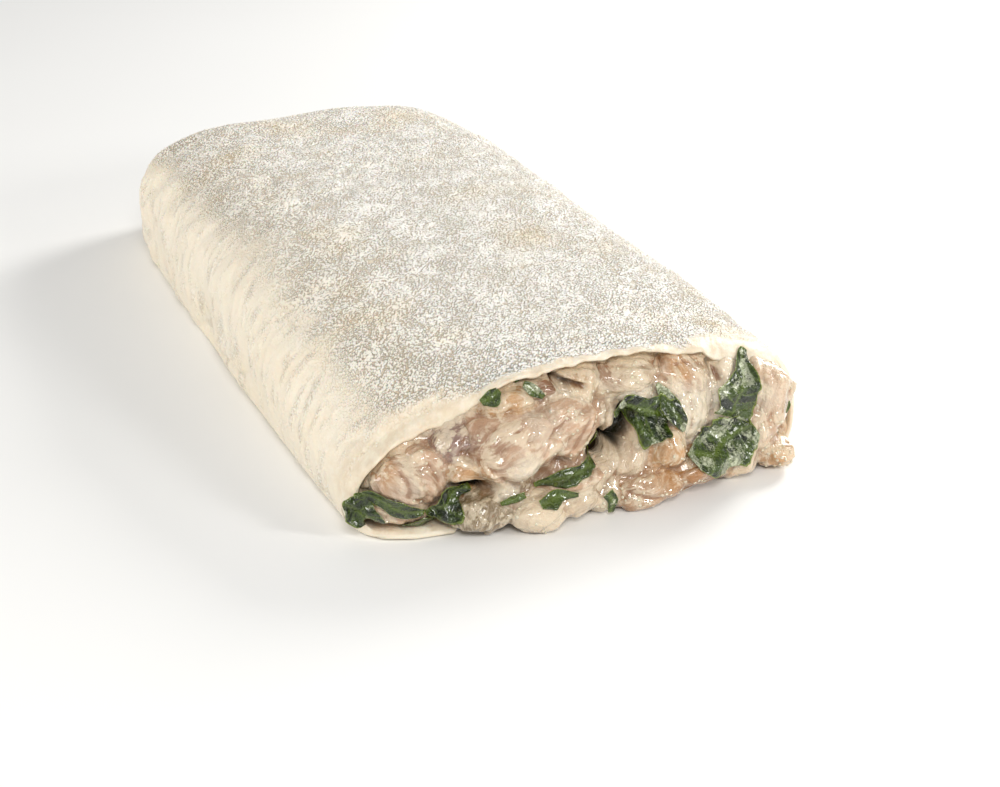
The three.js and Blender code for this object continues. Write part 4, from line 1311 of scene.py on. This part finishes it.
def leaf(name, seed, path, left, wave, creamy, right=None, over_rim=False):
    """One thin leaf on the front of the filling, with the values that its finish reads."""
    path = np.array(path) * MM
    widths = [np.array(half) * MM for half in (right or left, left)]
    long = np.linalg.norm(np.diff(path, axis=0), axis=1).sum()
    wide = max(half.max() for half in widths) * 2
    rows, columns = max(10, int(long / LEAF_CELL)), max(9, int(wide / LEAF_CELL))
    t, side = np.meshgrid(np.linspace(0, 1, rows), np.linspace(-1, 1, columns), indexing="ij")
    x, z, half = leaf_outline(t, side, seed, path, widths, long)
    flat = np.stack([x, t * 0, z], axis=-1).reshape(-1, 3)
    under = beds if over_rim or path[:, 1].min() < LOW_LEAF else beds[:-1]
    bed = np.array([front_of(under, across, up) for across, _, up in flat]).reshape(t.shape)
    off_vein, midrib = leaf_veins(t, side, seed, flat, half, long)
    front = drawn_taut(bed) - LEAF_GAP - leaf_rise(side, seed, flat, wave, off_vein, midrib)
    rim = np.maximum(abs(side), abs(2 * t - 1) ** 3)
    thick = LEAF_THICK * (1 - 0.5 * step_up(rim, 0.8, 1.0))
    near = np.stack([x, front - thick, z], axis=-1) + np.array(cut)
    far = np.stack([x, front, z], axis=-1) + np.array(cut)
    piece = grid_solid(name + "_leaf", near, far)
    cream = step_up(layers(flat, LEAF_CREAM, 3, seed + 6) + creamy - 0.5, -0.2, 0.6)
    vein = np.maximum(step_up(1 - off_vein, 0.75, 1.0), midrib)
    for key, values in (("cream", cream), ("vein", vein.ravel()), ("rim", rim.ravel())):
        keep(piece, key, np.tile(values, 2))
    return piece


beds = [tree_of(piece) for piece in [*meat.values(), sauce, dough]]
leaves = {name: leaf(name, 11 + 5 * k, **sizes) for k, (name, sizes) in enumerate(LEAVES.items())}
scraps = [leaf(name, 90 + k, **sizes) for k, (name, sizes) in enumerate(SCRAPS.items())]
print("faces in a leaf:", {name: len(piece.data.polygons) for name, piece in leaves.items()})

# %% [markdown]
# ## The look of wilted spinach
# A wilted leaf is dark and wet, with paler veins and rim, and milky where cream sticks to it.
# The veins and the rim are stored on the points, because they follow the leaf's own grid. The
# fine blistered net between them is a Voronoi Texture's distance to the nearest edge, on
# places that a noise has bent, so that its cells aren't regular.

# %% The spinach's finish
GREENS = {
    "deep": colour(18, 30, 6), "fresh": colour(62, 80, 20), "vein": colour(112, 132, 50),
    "edge": colour(160, 176, 70), "milky": colour(216, 220, 188),
}
NET = 400.0                              # cells a metre


def spinach_finish():
    finish = Finish("wilted_spinach")
    at = finish.place()
    fine = finish.speckle(at, 0.0012, 3, 0.6)
    patch = finish.speckle(at, 0.005, 2)
    wander = finish.node("ShaderNodeTexNoise", inputs={"Vector": at, "Scale": 700.0}, output="Color")
    bent = finish.node("ShaderNodeVectorMath", {"operation": "MULTIPLY_ADD"}, {
        0: wander, 1: (0.0016, 0.0016, 0.0016), 2: at})
    network = finish.node("ShaderNodeTexVoronoi", {"feature": "DISTANCE_TO_EDGE"}, {
        "Vector": bent, "Scale": NET})
    cell = finish.between(network, 0.0, 0.3)
    edge = finish.between(finish.attribute("rim"), 0.9, 1.0)
    green = finish.mixed(finish.between(patch, 0.35, 0.65), GREENS["deep"], GREENS["fresh"])
    green = finish.mixed(finish.attribute("vein") * 0.5, green, GREENS["vein"])
    green = finish.mixed(edge * 0.6, green, GREENS["edge"])
    streaks = finish.speckle(bent, 0.0007, 2, 0.6)
    film = finish.between(finish.attribute("cream") * 1.1 + (streaks - 0.5) * 2.4, 0.6, 1.15)
    film = film * (cell * 0.5 + 0.5)
    return finish.surface(
        Base_Color=finish.mixed(film * 0.75, green, GREENS["milky"]),
        Roughness=fine * 0.25 + 0.1,
        Normal=finish.bump(fine * 0.8 + cell * 0.7, 0.0006, 0.9),
        Coat_Weight=0.7, Coat_Roughness=0.05)


wilted_spinach = spinach_finish()
for name, piece in leaves.items():
    piece.data.materials.append(wilted_spinach)
    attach(piece, "root")
    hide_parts(name)
for piece in scraps:
    piece.data.materials.append(wilted_spinach)
    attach(piece, "root")
print("spinach finished")

# %% [markdown]
# ## The flour's grains
# From close by, dusted flour is a crust of small soft clumps. Thousands of equal things on a
# surface are a task for Geometry Nodes: points are spread over the dough with a least distance
# between them, the flour amount thins them out, and each point gets a low ball of its own size.
# The result becomes a plain mesh.

# %% A node tree that sprinkles balls on a bed
def sprinkle_tree():
    tree = bpy.data.node_groups.new("sprinkle", "GeometryNodeTree")
    for name, kind in (("Geometry", "NodeSocketGeometry"), ("Radius", "NodeSocketFloat"),
                       ("Spacing", "NodeSocketFloat"), ("Density", "NodeSocketFloat"),
                       ("Seed", "NodeSocketInt"), ("Sides", "NodeSocketInt"),
                       ("Rings", "NodeSocketInt"), ("Material", "NodeSocketMaterial")):
        tree.interface.new_socket(name, in_out="INPUT", socket_type=kind)
    tree.interface.new_socket("Geometry", in_out="OUTPUT", socket_type="NodeSocketGeometry")

    def node(kind, settings=None, inputs=None):
        made_node = tree.nodes.new(kind)
        for name, value in (settings or {}).items():
            setattr(made_node, name, value)
        for name, value in (inputs or {}).items():
            if isinstance(value, bpy.types.NodeSocket):
                tree.links.new(value, made_node.inputs[name])
            else:
                made_node.inputs[name].default_value = value
        return made_node.outputs

    given = node("NodeGroupInput")
    amount = node("GeometryNodeInputNamedAttribute", {"data_type": "FLOAT"}, {"Name": "amount"})
    spread = node("GeometryNodeDistributePointsOnFaces", {"distribute_method": "POISSON"}, {
        "Mesh": given["Geometry"], "Distance Min": given["Spacing"], "Density Max": given["Density"],
        "Density Factor": amount["Attribute"], "Seed": given["Seed"]})
    ball = node("GeometryNodeMeshUVSphere", None, {
        "Radius": given["Radius"], "Segments": given["Sides"], "Rings": given["Rings"]})
    squash = node("FunctionNodeRandomValue", {"data_type": "FLOAT_VECTOR"}, {
        0: (0.8, 0.8, 0.5), 1: (1.3, 1.3, 0.9), "Seed": given["Seed"]})
    placed = node("GeometryNodeInstanceOnPoints", None, {
        "Points": spread["Points"], "Instance": ball["Mesh"], "Rotation": spread["Rotation"],
        "Scale": squash["Value"]})
    real = node("GeometryNodeRealizeInstances", None, {"Geometry": placed["Instances"]})
    smooth = node("GeometryNodeSetShadeSmooth", None, {"Geometry": real["Geometry"]})
    painted = node("GeometryNodeSetMaterial", None, {
        "Geometry": smooth["Geometry"], "Material": given["Material"]})
    node("NodeGroupOutput", None, {"Geometry": painted["Geometry"]})
    return tree


def sprinkled(name, bed, amount, material, **values):
    """A plain mesh of balls on a copy of the bed, as many as the amount at its points says."""
    carrier = as_piece("carrier", bed.data.copy())
    keep(carrier, "amount", amount)
    modifier = carrier.modifiers.new("sprinkle", "NODES")
    modifier.node_group = sprinkle
    sockets = {item.name: item.identifier for item in sprinkle.interface.items_tree
               if item.in_out == "INPUT"}
    for key, value in dict(values, Material=material).items():
        modifier[sockets[key]] = value
    graph = bpy.context.evaluated_depsgraph_get()
    mesh = bpy.data.meshes.new_from_object(carrier.evaluated_get(graph))
    bpy.data.objects.remove(carrier)
    mesh.name = name
    return as_piece(name, mesh)


sprinkle = sprinkle_tree()
print("inputs of the tree:", [item.name for item in sprinkle.interface.items_tree])

# %% The flour's grains
def flour_finish():
    finish = Finish("flour")
    at = finish.place()
    patch = finish.speckle(at, 0.0015, 2)
    return finish.surface(
        Base_Color=finish.mixed(patch, colour(240, 233, 219), colour(250, 245, 234)),
        Roughness=finish.speckle(at, 0.01, 1) * 0.1 + 0.85)


flour_white = flour_finish()
fine_flour = sprinkled("flour_fine", dough, flour * 0.6, flour_white, Radius=0.00042,
                       Spacing=0.0013, Density=300000.0, Seed=3, Sides=4, Rings=3)
coarse_flour = sprinkled("flour_coarse", dough, flour ** 2, flour_white, Radius=0.00048,
                         Spacing=0.0019, Density=140000.0, Seed=8, Sides=4, Rings=3)
for piece in (fine_flour, coarse_flour):
    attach(piece, "root")
    print(piece.name, len(piece.data.polygons), "faces")

# %% [markdown]
# ## Drops of cream
# The cream has curdled into small beads that catch the light. The same node tree can scatter
# them, with rounder balls and another bed: the front of the meat and the sauce. Where they lie
# is again one number a point, which is more than 0 only on what faces the viewer of the cut.

# %% Drops on the filling
def drop_amount(bed):
    at = from_cut(bed)
    facing = step_up(-normals_of(bed)[:, 1], 0.0, 0.5) * (1 - step_up(at[:, 1], 0.002, 0.012))
    clusters = step_up(layers(at, 0.009, 2, 81), -0.15, 0.5)
    more_right = 0.35 + 0.4 * step_up(at[:, 0], -0.03, 0.03)
    return facing * clusters * more_right * (1 - hole_shade(at))


def drop_finish():
    finish = Finish("curdled_cream")
    at = finish.place()
    patch = finish.speckle(at, 0.004, 2)
    return finish.surface(
        Base_Color=finish.mixed(patch, colour(214, 192, 160), colour(240, 228, 204)),
        Roughness=finish.speckle(at, 0.001, 1) * 0.15 + 0.08,
        Subsurface_Weight=0.3, Subsurface_Radius=(1.0, 0.55, 0.3), Subsurface_Scale=0.002,
        Coat_Weight=1.0, Coat_Roughness=0.03)


drop_bed = joined_copy("drop_bed", [*meat.values(), sauce])
drops = sprinkled("cream_drops", drop_bed, drop_amount(drop_bed), drop_finish(),
                  Radius=0.00055, Spacing=0.0015, Density=300000.0, Seed=5, Sides=8, Rings=5)
bpy.data.objects.remove(drop_bed)
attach(drops, "root")
print("drops:", len(drops.data.polygons), "faces")

# %% [markdown]
# ## Table and light
# The photograph is lit softly and brightly, and the floor here is plain and pale. Four square
# area lamps stand round the log, all low. One behind at the right rakes over the top, so that
# the flour's grain shows. A larger one at the left fills the flank. Two more in front
# light the cut and put small highlights on the wet filling. A pale sky fills the rest.

# %% Floor, lamps and sky
FLOOR_SIZE = 8
LAMP_AIM = Vector((0, 0, 0.03))
SKY_STRENGTH = 0.36
WARM_WHITE = (1.0, 0.985, 0.96)
SOFT_WHITE = (1.0, 0.99, 0.97)


def floor_finish():
    finish = Finish("pale_floor")
    patch = finish.speckle(finish.place(), 0.3, 2)
    return finish.surface(
        Base_Color=finish.mixed(patch, colour(243, 243, 241), colour(247, 247, 246)),
        Roughness=patch * 0.1 + 0.6)


def lamp(name, at, size, power, tint):
    light = bpy.data.lights.new(name, "AREA")
    light.size = size
    light.energy = power
    light.color = tint
    holder = as_piece(name, light)
    holder.location = Vector(at)
    holder.rotation_euler = (LAMP_AIM - holder.location).to_track_quat("-Z", "Y").to_euler()


bpy.ops.mesh.primitive_plane_add(size=FLOOR_SIZE, location=(0, 0, 0))
floor = bpy.context.object
floor.name = "floor"
floor.data.materials.append(floor_finish())
lamp("lamp_back", (0.85, 0.3, 0.45), 0.3, 8.0, WARM_WHITE)
lamp("lamp_left", (-1.1, 0.25, 0.5), 0.5, 5.4, WARM_WHITE)
lamp("lamp_front", (-0.3, -0.9, 0.8), 0.3, 5.0, SOFT_WHITE)
lamp("lamp_right", (0.6, -0.9, 0.5), 0.2, 4.2, SOFT_WHITE)
sky = bpy.data.worlds.new("sky")
sky.use_nodes = True
background = sky.node_tree.nodes["Background"]
background.inputs["Color"].default_value = (1.0, 1.0, 1.0, 1.0)
background.inputs["Strength"].default_value = SKY_STRENGTH
bpy.context.scene.world = sky
bpy.context.scene.view_settings.view_transform = "Standard"
